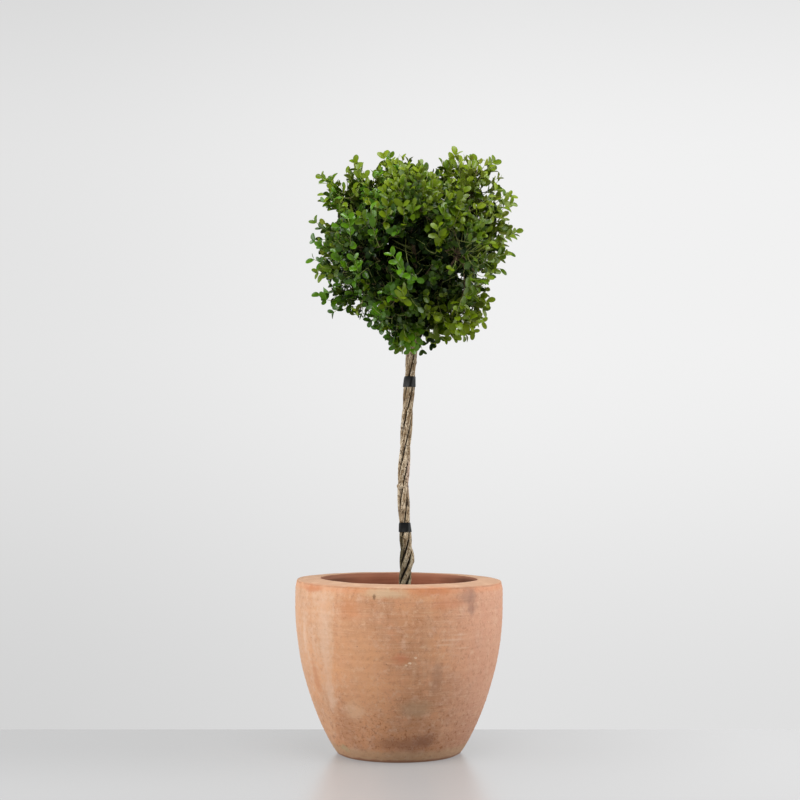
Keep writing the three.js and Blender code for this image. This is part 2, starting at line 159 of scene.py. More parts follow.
# %% [markdown]
# ## Studio
# The tree stands on a pale grey, polished table in front of a far white wall. A bright world stands
# in for the wall, so that the tree can be looked at from every side. The table ends a little way
# behind the pot, which gives the level line that shows behind it. Its finish gives off some light
# of its own, a painted glow that thins out the shadows on it and is brighter to the right and
# towards the front.

# %% Table
TABLE_WIDTH = 9.0
TABLE_BACK = 0.29
TABLE_FRONT = -6.0
TABLE_EDGE = 0.004

bpy.ops.object.select_all(action="DESELECT")
bpy.ops.mesh.primitive_plane_add(size=1, location=(0, 0, 0))
table = bpy.context.object
table.name = "table"
bpy.ops.object.mode_set(mode="EDIT")
bpy.ops.transform.resize(value=(TABLE_WIDTH, TABLE_BACK - TABLE_FRONT, 1))
bpy.ops.transform.translate(value=(0, (TABLE_BACK + TABLE_FRONT) / 2, 0))
bpy.ops.mesh.inset(thickness=TABLE_EDGE, depth=0)
bpy.ops.object.mode_set(mode="OBJECT")

table_finish, tree, shader, place = finish("pale table", 0.27, 0.8)
across, depth, _ = node(tree, "SeparateXYZ", {0: place}).outputs
nearer = times(tree, depth, -1.0)
# painted light: the table glows of itself, more to the right and towards the front
painted_table_glow = layered(tree, paint("888888"), [
    (across, 0.0, 0.8, 1.0, paint("a4a4a4")),
    (nearer, -0.1, 0.5, 0.5, paint("a2a2a2")),
])
fill(tree, shader, {"Base Color": paint("69696a"), "Emission Color": painted_table_glow, "Emission Strength": 1.0})
table.data.materials.append(table_finish)
print("table:", TABLE_WIDTH, "m wide")

# %% [markdown]
# The light is soft. Two large softboxes at the sides, level with the pot, brighten its left and
# right edges, and a third above makes the topmost leaves shine. They are hidden from the camera,
# so that none shows up when the tree is looked at from another side. The wall behind the tree
# throws light back, the rest of the room is dim. So the world is one colour for the camera's own
# rays and another for all others, bright behind and dark in front. That keeps the inside of the
# crown dark and lets the table mirror the wall.

# %% Light
WALL_LEFT = "e3e3e3"
WALL_RIGHT = "f1f1f1"
WALL_GLOW = 0.85  # how strongly the wall behind lights the tree
ROOM_GLOW = 0.20  # and the room in front
SOFTBOX_AIM = Vector((0, 0, 0.7))
SOFTBOXES = [
    # name, place, size, watts
    ("left softbox", (-2.2, -0.85, 1.2), 1.7, 46),
    ("right softbox", (2.3, -0.3, 1.2), 1.7, 34),
    ("top softbox", (0.3, -1.2, 3.1), 1.6, 84),
]

world = bpy.data.worlds.new("studio")
bpy.context.scene.world = world
world.use_nodes = True
tree = world.node_tree
direction = node(tree, "TexCoord", {}).outputs["Generated"]
sideways, backwards, upwards = node(tree, "SeparateXYZ", {0: direction}).outputs
wall = layered(tree, paint(WALL_LEFT), [(sideways, -0.26, 0.08, 1.0, paint(WALL_RIGHT))])
downwards = times(tree, upwards, -1.0)
brightness = sums(tree, "SUBTRACT", 1.0, rising(tree, downwards, -0.06, 0.17, 0.16))
brightness = sums(tree, "SUBTRACT", brightness, rising(tree, upwards, 0.14, 0.34, 0.2))
from_wall = rising(tree, backwards, -0.3, 0.6, WALL_GLOW - ROOM_GLOW)
strength = sums(tree, "ADD", ROOM_GLOW, from_wall)
shown = node(tree, "Background", {"Color": wall, "Strength": brightness}).outputs[0]
glow = node(tree, "Background", {"Color": wall, "Strength": strength}).outputs[0]
seen = node(tree, "LightPath", {}).outputs["Is Camera Ray"]
both = node(tree, "MixShader", {0: seen, 1: glow, 2: shown}).outputs[0]
tree.links.new(both, tree.nodes["World Output"].inputs["Surface"])

for name, spot, size, watts in SOFTBOXES:
    bpy.ops.object.light_add(type="AREA", location=spot)
    lamp = bpy.context.object
    lamp.name = name
    lamp.rotation_euler = (SOFTBOX_AIM - Vector(spot)).to_track_quat("-Z", "Y").to_euler()
    lamp.data.size = size
    lamp.data.energy = watts
    lamp.visible_camera = False
bpy.context.scene.view_settings.view_transform = "Standard"
print("light:", len(SOFTBOXES), "softboxes")

# %% [markdown]
# ## Pot
# The pot was thrown on a wheel, so every level cut through it is a circle. The best match in
# Blender is Spin: the wall's profile is drawn once, point by point, and spun round the Z axis.
# The outside swells from a small foot to a wide belly, and the wall ends in a broad rim that
# hangs a little inside the mouth. Throwing leaves faint rings, which are drawn into the profile.

# %% The pot's profile
POT_HEIGHT = 0.347
POT_FOOT_RADIUS = 0.120
POT_FOOT_BEVEL = 0.003
POT_BELLY_RADIUS = 0.2066
POT_BELLY_HEIGHT = 0.288
POT_SHOULDER_HEIGHT = 0.327
POT_SWELL = 0.8
POT_WALL = 0.028
POT_FLOOR = 0.036
MOUTH_RADIUS = 0.156
LIP_DEPTH = 0.031
LIP_UNDERCUT = 0.026
RIM_NARROWER = 0.0025  # than the belly
RIM_OUTER_ROUND = 0.005
RIM_INNER_ROUND = 0.003
RIM_FALL = 0.0026  # from the mouth to the outer edge
THROWING_RING = 0.0065  # between one faint ring and the next
THROWING_DEPTH = 0.00022
WALL_POINTS = 96
WALL_CROWDING = 1.15  # over 1, the points lie closer together near the foot
INSIDE_POINTS = 30
FOOT_RADII = (0, 0.06, 0.1)  # of the points on the underside
LIP_SHARES = (0.35, 0.65)  # of the lip's depth, for the points on it


def pot_radius(height):
    share = min(height / POT_BELLY_HEIGHT, 1)
    swell = math.sin(share * math.pi / 2) ** POT_SWELL
    return POT_FOOT_RADIUS + (POT_BELLY_RADIUS - POT_FOOT_RADIUS) * swell


def thrown_radius(height):
    turn = 2 * math.pi * height / THROWING_RING
    rings = math.sin(turn) + 0.6 * math.sin(turn * 0.43 + 1.3)
    return pot_radius(height) + THROWING_DEPTH * rings


def rounded(start, corner, end, points=6):
    """Points of a curve that rounds a corner of the profile off."""
    s = np.linspace(0, 1, points + 1)[:, None]
    start, corner, end = (np.array(point) for point in (start, corner, end))
    return ((1 - s) ** 2 * start + 2 * s * (1 - s) * corner + s * s * end).tolist()


def inside_points(inset):
    """The inside of the wall, from the undercut lip down to the pot's floor."""
    lip_foot = POT_HEIGHT - LIP_DEPTH
    heights = np.linspace(lip_foot - LIP_UNDERCUT, POT_FLOOR + inset, INSIDE_POINTS)
    wall = [(pot_radius(h) - POT_WALL - inset, h) for h in heights]
    return [(MOUTH_RADIUS - inset, lip_foot), *wall]


def pot_profile():
    rim_outer = POT_BELLY_RADIUS - RIM_NARROWER
    outer_height = POT_HEIGHT - RIM_FALL
    shares = np.linspace(0, 1, WALL_POINTS) ** WALL_CROWDING
    heights = POT_FOOT_BEVEL + (POT_SHOULDER_HEIGHT - POT_FOOT_BEVEL) * shares
    wall = [(thrown_radius(h), h) for h in heights]
    outer = rounded(
        (rim_outer, outer_height - RIM_OUTER_ROUND),
        (rim_outer, outer_height),
        (rim_outer - RIM_OUTER_ROUND, outer_height),
    )
    inner = rounded(
        (MOUTH_RADIUS + RIM_INNER_ROUND, POT_HEIGHT),
        (MOUTH_RADIUS, POT_HEIGHT),
        (MOUTH_RADIUS, POT_HEIGHT - RIM_INNER_ROUND),
    )
    shares = np.linspace(0, 1, 8)[1:-1, None]
    rim = np.array(outer[-1]) * (1 - shares) + np.array(inner[0]) * shares
    lip = [(MOUTH_RADIUS, POT_HEIGHT - LIP_DEPTH * share) for share in LIP_SHARES]
    foot = [(radius, 0) for radius in (*FOOT_RADII, POT_FOOT_RADIUS - POT_FOOT_BEVEL)]
    outside = [*foot, *wall, *outer, *rim.tolist()]
    return [*outside, *inner, *lip, *inside_points(0), (0, POT_FLOOR)]


print("pot profile:", len(pot_profile()), "points")

# %% [markdown]
# A plane merged to its middle is a single point. Extruding that point draws the profile, Spin
# turns it into a wall, and the seam and the two poles are closed by merging what lies together.

# %% Throw the pot
POT_STEPS = 144


def named(name):
    """The piece that was just added, under its own name."""
    piece = bpy.context.object
    piece.name = name
    piece.data.name = name
    return piece


def thrown(name, profile, steps):
    bpy.ops.object.select_all(action="DESELECT")
    bpy.ops.mesh.primitive_plane_add(size=0.01, location=(0, 0, 0))
    piece = named(name)
    bpy.ops.object.mode_set(mode="EDIT")
    bpy.ops.mesh.merge(type="CENTER")
    bpy.ops.transform.translate(value=(profile[0][0], 0, profile[0][1]))
    for (radius, height), (next_radius, next_height) in zip(profile, profile[1:]):
        move = (next_radius - radius, 0, next_height - height)
        bpy.ops.mesh.extrude_vertices_move(TRANSFORM_OT_translate={"value": move})
    bpy.ops.mesh.select_all(action="SELECT")
    bpy.ops.mesh.spin(steps=steps, angle=2 * math.pi, center=(0, 0, 0), axis=(0, 0, 1))
    bpy.ops.mesh.select_all(action="SELECT")
    bpy.ops.mesh.remove_doubles(threshold=1e-5)
    bpy.ops.mesh.normals_make_consistent(inside=False)
    bpy.ops.object.mode_set(mode="OBJECT")
    return piece


pot = thrown("terracotta_pot", pot_profile(), POT_STEPS)
print("pot:", len(pot.data.polygons), "faces")

# %% [markdown]
# No thrown pot is quite true. A Displace modifier with a cloudy texture gives the wall slow
# dents, and a finer one the grain of the clay. A vertex group keeps the underside flat, so that
# the pot still stands level on the table. The rim of this one leans a little to the right.

# %% Dents and grain
def points_of(piece):
    points = np.empty(len(piece.data.vertices) * 3)
    piece.data.vertices.foreach_get("co", points)
    return points.reshape(-1, 3)


def only_where(piece, name, chosen):
    group = piece.vertex_groups.new(name=name)
    group.add([int(i) for i in np.nonzero(chosen)[0]], 1.0, "REPLACE")
    return name


CLOUDS_MIDDLE = 0.62  # the texture's mean, so that a piece keeps its size


def roughened(piece, name, size, depth, group=""):
    texture = bpy.data.textures.new(name, type="CLOUDS")
    texture.noise_scale = size
    bpy.context.view_layer.objects.active = piece
    bpy.ops.object.modifier_add(type="DISPLACE")
    modifier = piece.modifiers[-1]
    modifier.texture = texture
    modifier.texture_coords = "LOCAL"
    modifier.strength = depth
    modifier.mid_level = CLOUDS_MIDDLE
    modifier.vertex_group = group
    bpy.ops.object.modifier_apply(modifier=modifier.name)


RIM_LEAN = 0.0095  # the rim is a little higher on the left
above_foot = only_where(pot, "above the foot", points_of(pot)[:, 2] > POT_FOOT_BEVEL / 2)
roughened(pot, "slow dents", 0.09, 0.0018, above_foot)
roughened(pot, "clay grain", 0.006, 0.0004, above_foot)
points = points_of(pot)
rise = np.clip(points[:, 2] / POT_HEIGHT, 0, 1) ** 3
points[:, 2] -= RIM_LEAN * points[:, 0] * rise
pot.data.vertices.foreach_set("co", points.ravel())
bpy.ops.object.shade_smooth_by_angle(angle=math.radians(50))
print("pot:", [round(v, 3) for v in points_of(pot).max(axis=0)], "highest corner")

# %% [markdown]
# ## Terracotta
# Fired clay is never one colour. Soft clouds run from tan to dull brown, and the right side is
# pinker. Lime has bloomed down the sides in long streaks, throwing lines show here and there as
# short level scratches, and small rusty flecks, pits and specks sit all over. Each is a noise
# texture on the object's own coordinates, pulled long along Z for streaks and flattened for
# scratches.

# %% Clay, bloom and scratches
CLAY_WARM = paint("dc9f72")
CLAY_DULL = paint("c18b65")
CLAY_PINK = paint("cb9880")
CLAY_PALE = paint("dab496")
CLAY_ORANGE = paint("d28654")
CLAY_BLUSH = paint("d9af94")
CLAY_FLECK = paint("a4663f")
CLAY_DARK = paint("85583f")
CLAY_SPECK = paint("e6ccb0")

pot_finish, tree, shader, place = finish("weathered terracotta", 0.82)
across, depth, height = node(tree, "SeparateXYZ", {0: place}).outputs
downwards = times(tree, height, -1.0)
patches = noise(tree, place, 7.0, 5.0, 0.6)
clouds = noise(tree, place, 34.0, 6.0, 0.65)
blush = noise(tree, place, 55.0, 6.0, 0.7)
crumbs = noise(tree, place, 90.0, 6.0, 0.75)
flecks = noise(tree, place, 130.0, 6.0, 0.7)
grit = noise(tree, place, 330.0, 4.0, 0.7)
grain = noise(tree, place, 700.0, 3.0, 0.6)
scratches = noise(tree, stretched(tree, place, (16.0, 16.0, 420.0)), 1.0, 4.0, 0.6)
streaks = noise(tree, stretched(tree, place, (30.0, 30.0, 2.4)), 1.0, 5.0, 0.6)

clay = layered(tree, CLAY_WARM, [
    (patches, 0.36, 0.64, 1.0, CLAY_DULL),
    (clouds, 0.48, 0.70, 0.7, CLAY_ORANGE),
    (blush, 0.5, 0.66, 0.55, CLAY_BLUSH),
    (across, 0.04, 0.17, 0.75, CLAY_PINK),
    (streaks, 0.52, 0.76, 0.35, CLAY_PALE),
])
in_patches = rising(tree, patches, 0.44, 0.56)
lines = times(tree, in_patches, rising(tree, scratches, 0.53, 0.65, 0.3))
clay = mixed(tree, lines, clay, CLAY_PALE)
many_low_down = sums(tree, "ADD", rising(tree, downwards, -0.16, -0.04, 0.45), 0.4)
for value, low, high, most in ((flecks, 0.53, 0.63, 1.0), (grit, 0.55, 0.63, 0.6)):
    dotted = times(tree, rising(tree, value, low, high, most), many_low_down)
    clay = mixed(tree, dotted, clay, CLAY_FLECK)
clay = layered(tree, clay, [
    (crumbs, 0.54, 0.66, 0.5, CLAY_PALE),
    (grain, 0.66, 0.72, 0.5, CLAY_SPECK),
    # painted shade: the clay darkens towards the foot, which faces away from the light
    (downwards, -0.14, 0.0, 0.28, CLAY_DARK),
])
print("terracotta: base colours mixed")

# %% [markdown]
# Some marks belong to one place. On the left of the front, a pale band of lime streaks runs
# straight down and stops at a sharp edge, and it also paints the highlight of the light from the
# left. The rim is rubbed pale on top and orange below its edge, with a painted shade along its
# rounded outer edge, and the foot carries a pale tide band with a painted line of shade at its very
# bottom. The pot's rim leans, so the height is straightened before it is used for the rim.

# %% Lime, rim and foot
LIME_AND_HIGHLIGHT_EDGE = 0.127  # left of the middle
LIME_AND_HIGHLIGHT_FADE = (0.004, 0.012)  # past the edge, where the lime begins and where it is full
RIM_BAND = 0.013

wobble = times(tree, noise(tree, place, 26.0, 5.0), 0.022)
leftwards = sums(tree, "SUBTRACT", wobble, across)
# a pale band on the left of the front: lime streaks and a painted highlight of the left light
lime_and_highlight = rising(tree, times(tree, depth, -1.0), -0.06, 0.03)
past_edge = rising(tree, leftwards, *(LIME_AND_HIGHLIGHT_EDGE + fade for fade in LIME_AND_HIGHLIGHT_FADE))
lime_and_highlight = times(tree, lime_and_highlight, past_edge)
lime_and_highlight = times(tree, lime_and_highlight, rising(tree, streaks, 0.1, 0.6, 0.75))
for value, low, high in ((height, 0.08, 0.20), (crumbs, 0.4, 0.6)):
    lime_and_highlight = times(tree, lime_and_highlight, sums(tree, "ADD", rising(tree, value, low, high, 0.5), 0.5))
clay = mixed(tree, lime_and_highlight, clay, CLAY_PALE)

level = sums(tree, "ADD", height, times(tree, across, RIM_LEAN))
tide_and_foot_shade = sums(tree, "ADD", downwards, times(tree, clouds, 0.016))
rim_edge = POT_HEIGHT - RIM_FALL
band_foot = rim_edge - RIM_BAND
clay = layered(tree, clay, [(level, band_foot - 0.004, band_foot + 0.004, 0.35, CLAY_ORANGE)])
# painted shade: a thin dark line along the rim's rounded outer edge, patchy with the clouds
rim_edge_shade = rising(tree, level, rim_edge - 0.006, rim_edge - 0.003)
rim_edge_shade = times(tree, rim_edge_shade, rising(tree, clouds, 0.3, 0.6, 0.55))
clay = mixed(tree, rim_edge_shade, clay, CLAY_DARK)
clay = layered(tree, clay, [
    (level, rim_edge - 0.003, rim_edge - 0.001, 1.0, paint("b28b6e")),
    (clouds, 0.45, 0.7, 0.3, CLAY_PALE),
    (tide_and_foot_shade, -0.022, -0.010, 0.5, paint("b99b7a")),
    # painted shade: a dark line along the very bottom of the foot
    (tide_and_foot_shade, 0.000, 0.004, 0.7, paint("8c5a41")),
])
print("terracotta: lime, rim and foot")

# %% [markdown]
# Others are blots, such as a smoke stain, an orange smear and a chip. A blot is the distance from
# its place, measured in its own half width and half height, and a fine noise makes its edge ragged.

# %% Blots on the pot
SMALL_BLOT = 0.007  # a blot that is thinner has a finer edge
BLOT_FADE = (0.3, 1.3)  # it is full inside the first and gone outside the second
POT_BLOTS = [
    # angle from the front in degrees, height, half width, half height, colour, strength
    (-25, 0.200, 0.060, 0.120, "e2aa7e", 0.35),
    (-57, 0.160, 0.012, 0.085, "cb8c63", 0.75),
    (-64, 0.240, 0.007, 0.060, "e0bea3", 0.60),
    (-45, 0.230, 0.014, 0.110, "dfbb9f", 0.45),
    (-55, 0.336, 0.034, 0.009, "c0744a", 0.60),
    (19, 0.336, 0.040, 0.010, "c07448", 0.55),
    (-7, 0.333, 0.046, 0.010, "d0b08d", 0.85),
    (40, 0.326, 0.022, 0.018, "96705f", 0.50),
    (43, 0.316, 0.013, 0.026, "8a6152", 0.35),
    (42, 0.297, 0.009, 0.010, "93695a", 0.45),
    (-13, 0.326, 0.0035, 0.006, "7d5a3c", 0.85),
    (1, 0.208, 0.018, 0.011, "cb7d57", 0.60),
    (9, 0.211, 0.003, 0.002, "ecd3b6", 0.90),
    (6, 0.201, 0.004, 0.002, "ecd3b6", 0.90),
    (4, 0.197, 0.003, 0.002, "e8cdb0", 0.80),
    (13, 0.231, 0.009, 0.003, "d9b18f", 0.60),
    (22, 0.171, 0.013, 0.036, "9c6a4c", 0.45),
    (11, 0.111, 0.036, 0.020, "b39272", 0.60),
    (3, 0.040, 0.060, 0.016, "8f5e43", 0.55),
    (20, 0.047, 0.024, 0.016, "83553d", 0.50),
    (-51, 0.024, 0.016, 0.008, "ada07c", 0.60),
    (-30, 0.105, 0.024, 0.022, "dcb594", 0.50),
    (-46, 0.128, 0.013, 0.060, "dfbb9f", 0.50),
    (-27, 0.300, 0.032, 0.020, "cd8658", 0.45),
    (25, 0.312, 0.038, 0.014, "c97e54", 0.45),
    (30, 0.243, 0.030, 0.0022, "dcb89c", 0.50),
    (25, 0.234, 0.024, 0.0018, "dcb89c", 0.50),
    (34, 0.252, 0.022, 0.0018, "dcb89c", 0.45),
    (37, 0.226, 0.018, 0.0018, "dcb89c", 0.45),
]


def on_wall(degrees, level):
    turn = math.radians(degrees)
    radius = pot_radius(level)
    return (radius * math.sin(turn), -radius * math.cos(turn), level)


def vectors(tree, operation, first, second):
    return node(tree, "VectorMath", {0: first, 1: second}, operation=operation).outputs[0]


def frayed(tree, place, scale, amount):
    """Coordinates that a noise has pushed about, for ragged edges."""
    inputs = {"Vector": place, "Scale": scale, "Detail": 6.0, "Roughness": 0.65}
    push = node(tree, "TexNoise", inputs).outputs["Color"]
    push = vectors(tree, "SUBTRACT", push, (0.5, 0.5, 0.5))
    push = vectors(tree, "MULTIPLY", push, (amount, amount, amount))
    return vectors(tree, "ADD", place, push)


def blot_share(tree, place, centre, halves, strength):
    shrunk = vectors(tree, "DIVIDE", vectors(tree, "SUBTRACT", place, centre), halves)
    away = node(tree, "VectorMath", {0: shrunk}, operation="LENGTH").outputs["Value"]
    return sums(tree, "SUBTRACT", strength, rising(tree, away, *BLOT_FADE, strength))


coarse = frayed(tree, place, 60.0, 0.026)
fine = frayed(tree, place, 300.0, 0.006)
for degrees, level, half_width, half_height, colour, strength in POT_BLOTS:
    halves = (half_width, half_width, half_height)
    frayed_place = fine if min(half_width, half_height) < SMALL_BLOT else coarse
    share = blot_share(tree, frayed_place, on_wall(degrees, level), halves, strength)
    clay = mixed(tree, share, clay, paint(colour))
pits = noise(tree, place, 210.0, 4.0, 0.6)
clay = layered(tree, clay, [(pits, 0.66, 0.73, 0.6, CLAY_DARK)])
relief = sums(tree, "ADD", times(tree, lines, 0.8), times(tree, grain, 0.4))
relief = sums(tree, "SUBTRACT", relief, rising(tree, pits, 0.66, 0.75))
fill(tree, shader, {"Base Color": clay, "Normal": bump(tree, relief, 0.35, 0.0012)})
print("terracotta:", len(POT_BLOTS), "blots,", len(tree.nodes), "nodes")

# %% [markdown]
# Inside, the clay has never seen weather. It is redder and darker, and the rings of the potter's
# fingers show more. To the left and right of the plant the wall is painted almost brown as shade,
# where the curved wall hides it from the light, and a narrow band just below the rim is painted
# lighter as light that reaches in there. The faces that look towards the axis get this second
# finish.

# %% The inside of the pot
INNER_FACES_BELOW = 0.4  # how far up a face may look and still count as inside

inner_finish, tree, shader, place = finish("bare terracotta", 0.88)
across, _, height = node(tree, "SeparateXYZ", {0: place}).outputs
sideways = sums(tree, "ABSOLUTE", across, 0.0)
fingers = noise(tree, stretched(tree, place, (6.0, 6.0, 150.0)), 1.0, 5.0)
patches = noise(tree, place, 14.0, 5.0)
clay = layered(tree, paint("a8654a"), [
    (patches, 0.35, 0.65, 1.0, paint("96583f")),
    (fingers, 0.45, 0.7, 0.4, paint("b87b5c")),
    # painted shade: the wall left and right of the plant is painted almost brown
    (sideways, 0.07, 0.135, 0.75, paint("52301f")),
    # painted light: a narrow band just below the rim inside is painted lighter
    (height, 0.336, 0.342, 0.5, paint("c08468")),
])
fill(tree, shader, {"Base Color": clay, "Normal": bump(tree, fingers, 0.4, 0.002)})

pot.data.materials.append(pot_finish)
pot.data.materials.append(inner_finish)
for face in pot.data.polygons:
    inwards = face.normal.x * face.center.x + face.normal.y * face.center.y < 0
    face.material_index = int(inwards and face.normal.z < INNER_FACES_BELOW)


def hand_over(piece, slot, *nodes):
    """A finished piece moves with the tree, and the solids that it covers are hidden."""
    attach(piece, "root")
    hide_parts(*nodes)


hand_over(pot, "terracotta", "pot")
print("pot: finished")

# %% [markdown]
# ## Soil
# The soil fills the pot to about five centimetres below the rim and falls a little towards the
# wall. It is thrown like the pot, from a profile with many rings on top, which two Displace
# modifiers turn into a lumpy surface.

# %% Potting soil
SOIL_TOP = 0.294
SOIL_FLAT_RADIUS = 0.045
SOIL_FALL = 0.003
SOIL_GAP = 0.0006
SOIL_STEPS = 120
SOIL_RINGS = 46  # of points on top
SOIL_UNDERSIDE = (0, 0.08)  # radii of the points below, before the wall
SURFACE_DOWN = 0.001  # the surface goes on below the wall's edge by this much
SURFACE_IN = 0.002  # and ends this far inside it

wall = [p for p in inside_points(SOIL_GAP) if p[1] < SOIL_TOP - SOIL_FALL]
edge_radius, edge_height = wall[0]
top = []
for share in np.linspace(1, 0, SOIL_RINGS)[1:]:
    radius = edge_radius * share
    fall = max(0, (radius - SOIL_FLAT_RADIUS) / (edge_radius - SOIL_FLAT_RADIUS))
    top.append((radius, SOIL_TOP - (SOIL_TOP - edge_height) * fall))
bottom = [(radius, POT_FLOOR + SOIL_GAP) for radius in SOIL_UNDERSIDE]
soil = thrown("potting_soil", [*bottom, *wall[::-1], *top], SOIL_STEPS)
points = points_of(soil)
on_top = points[:, 2] > edge_height - SURFACE_DOWN
on_top &= np.hypot(points[:, 0], points[:, 1]) < edge_radius - SURFACE_IN
surface = only_where(soil, "surface", on_top)
roughened(soil, "lumps", 0.022, 0.006, surface)
roughened(soil, "crumble", 0.006, 0.003, surface)
bpy.ops.object.shade_smooth_by_angle(angle=math.radians(60))

soil_finish, tree, shader, place = finish("potting soil", 0.95)
damp = noise(tree, place, 22.0, 4.0)
fibres = noise(tree, place, 160.0, 6.0, 0.7)
earth = layered(tree, paint("2c2018"), [
    (damp, 0.35, 0.65, 1.0, paint("4a382a")),
    (fibres, 0.58, 0.7, 0.7, paint("6b533d")),
])
fill(tree, shader, {"Base Color": earth, "Normal": bump(tree, fibres, 0.8, 0.003)})
soil.data.materials.append(soil_finish)
hand_over(soil, "soil", "soil")
print("soil:", len(soil.data.polygons), "faces")

# %% [markdown]
# ## Many small things
# Crumbs, twigs and leaves come in hundreds and thousands, so they aren't modelled one by one. A
# single shape is stamped out many times, each copy with a place and axes of its own, and all are
# joined into one mesh from arrays, which is much faster than joining objects.

# %% Heaps and stamps
class Heap:
    """Points and triangles of many small things, gathered for one mesh."""

    def __init__(self):
        self.points = []
        self.triangles = []
        self.slots = []
        self.count = 0

    def add(self, points, triangles, slots=0):
        self.points.append(points)
        self.triangles.append(triangles + self.count)
        self.slots.append(np.broadcast_to(slots, len(triangles)))
        self.count += len(points)

    def piece(self, name, *materials):
        mesh = bpy.data.meshes.new(name)
        mesh.from_pydata(np.vstack(self.points).tolist(), [], np.vstack(self.triangles).tolist())
        slots = np.concatenate(self.slots).astype(np.int32)
        mesh.polygons.foreach_set("material_index", slots)
        mesh.shade_smooth()
        for material in materials:
            mesh.materials.append(material)
        piece = bpy.data.objects.new(name, mesh)
        bpy.context.collection.objects.link(piece)
        return piece


def stamped(points, triangles, copies):
    """Copies of one small shape: each copy is a place and the three arms of its own axes."""
    places = np.array([place for place, _ in copies])
    arms = np.array([arms for _, arms in copies])
    moved = np.einsum("pk,ckx->cpx", points, arms) + places[:, None, :]
    shifts = np.arange(len(copies))[:, None, None] * len(points)
    return moved.reshape(-1, 3), (triangles[None] + shifts).reshape(-1, 3)


print("heaps: many small things in one mesh")

# %% [markdown]
# Loose crumbs and bark chips lie on the soil. They are copies of one ragged lump, turned and sized
# by chance. The seed makes chance the same on every run.

# %% Crumbs on the soil
CRUMBS = 700
CRUMB_SIZE = 0.0028
CRUMB_LENGTHS = (1, 2.2)  # times its width
CRUMB_FLATNESS = 0.7
CRUMB_TILT = 0.2
CRUMB_SUNK = 0.0005
LUMP_RAGGED = 0.25

bpy.ops.object.select_all(action="DESELECT")
bpy.ops.mesh.primitive_ico_sphere_add(subdivisions=1, radius=1, location=(0, 0, 0))
lump = bpy.context.object
lump_points = points_of(lump) * (1 + LUMP_RAGGED * np.sin(7 * points_of(lump)[:, :1] + 3))
lump_faces = np.array([face.vertices[:] for face in lump.data.polygons])
bpy.ops.object.delete()

chance = random.Random(11)
copies = []
for _ in range(CRUMBS):
    radius = math.sqrt(chance.uniform(0.01, 0.94)) * edge_radius
    turn = chance.uniform(0, 2 * math.pi)
    size = CRUMB_SIZE * chance.uniform(0.5, 1.5)
    spin = chance.uniform(0, 2 * math.pi)
    length = size * chance.uniform(*CRUMB_LENGTHS)
    arms = (
        np.array((math.cos(spin), math.sin(spin), CRUMB_TILT)) * length,
        np.array((-math.sin(spin), math.cos(spin), 0)) * size,
        np.array((0, 0, size * CRUMB_FLATNESS)),
    )
    spot = np.array((radius * math.cos(turn), radius * math.sin(turn), SOIL_TOP - CRUMB_SUNK))
    copies.append((spot, arms))
crumb_heap = Heap()
crumb_heap.add(*stamped(lump_points, lump_faces, copies))
hand_over(crumb_heap.piece("soil_crumbs", soil_finish), "soil", "soil")
print("crumbs:", CRUMBS)

# %% [markdown]
# ## The plait
# Four young stems were twisted round each other and grown together. Each stands a quarter turn on
# from the last, at a distance at which neighbours just touch, and the whole ring turns with
# height: slowly above, faster near the pot. The axis itself leans in a slow S. All of this is a
# few formulas, so any stem's place can be asked for at any height.

# %% The stems' places
STEM_COUNT = 4
STEM_RADIUS_FOOT = 0.0050
STEM_RADIUS_TOP = 0.0044
STEM_RADIUS_TIP = 0.0034
ROOT_FLARE = 0.0022
ROOT_FLARE_HEIGHT = 0.022
PLAIT_TOP = 0.794
PLAIT_LEAN = np.array([
    # height, how far to the right the axis lies
    (0.294, 0.009),
    (0.392, 0.014),
    (0.522, 0.0085),
    (0.652, 0.0155),
    (0.794, 0.025),
])
STEM_GAP = 0.0003
TWIST_FRONT_HEIGHT = 0.572
TWIST_PER_METRE = math.radians(1200)
TWIST_TIGHTER = math.radians(0.058)
TWIST_TIGHTER_POWER = 1.58
TWIST_TIGHTER_BELOW = 0.448
BOW = 0.0045
BOW_HEIGHT = 0.392
BOW_SPREAD = 0.024
lean_slopes = np.gradient(PLAIT_LEAN[:, 1], PLAIT_LEAN[:, 0])


def lean_at(height):
    heights, leans = PLAIT_LEAN.T
    i = int(np.clip(np.searchsorted(heights, height) - 1, 0, len(heights) - 2))
    span = heights[i + 1] - heights[i]
    s = np.clip((height - heights[i]) / span, 0, 1)
    ends = (2 * s ** 3 - 3 * s ** 2 + 1) * leans[i] + (3 * s ** 2 - 2 * s ** 3) * leans[i + 1]
    slopes = (s ** 3 - 2 * s ** 2 + s) * lean_slopes[i] + (s ** 3 - s ** 2) * lean_slopes[i + 1]
    return ends + span * slopes


def twist_at(height):
    below = max(0, TWIST_TIGHTER_BELOW - height) * 1000  # in millimetres
    tighter = TWIST_TIGHTER * below ** TWIST_TIGHTER_POWER
    return TWIST_PER_METRE * (height - TWIST_FRONT_HEIGHT) - tighter


def stem_radius(height):
    share = (height - SOIL_TOP) / (PLAIT_TOP - SOIL_TOP)
    flare = ROOT_FLARE * max(0, 1 - (height - SOIL_TOP) / ROOT_FLARE_HEIGHT) ** 2
    return STEM_RADIUS_FOOT + (STEM_RADIUS_TOP - STEM_RADIUS_FOOT) * share + flare


def plait_centre(stem, height):
    turn = -math.pi / 2 + 2 * math.pi * stem / STEM_COUNT + twist_at(height)
    bow = BOW * math.exp(-(((height - BOW_HEIGHT) / BOW_SPREAD) ** 2)) if stem == 0 else 0
    ring = (stem_radius(height) + STEM_GAP) / math.sin(math.pi / STEM_COUNT) + bow
    return np.array((lean_at(height) + ring * math.cos(turn), ring * math.sin(turn), height))


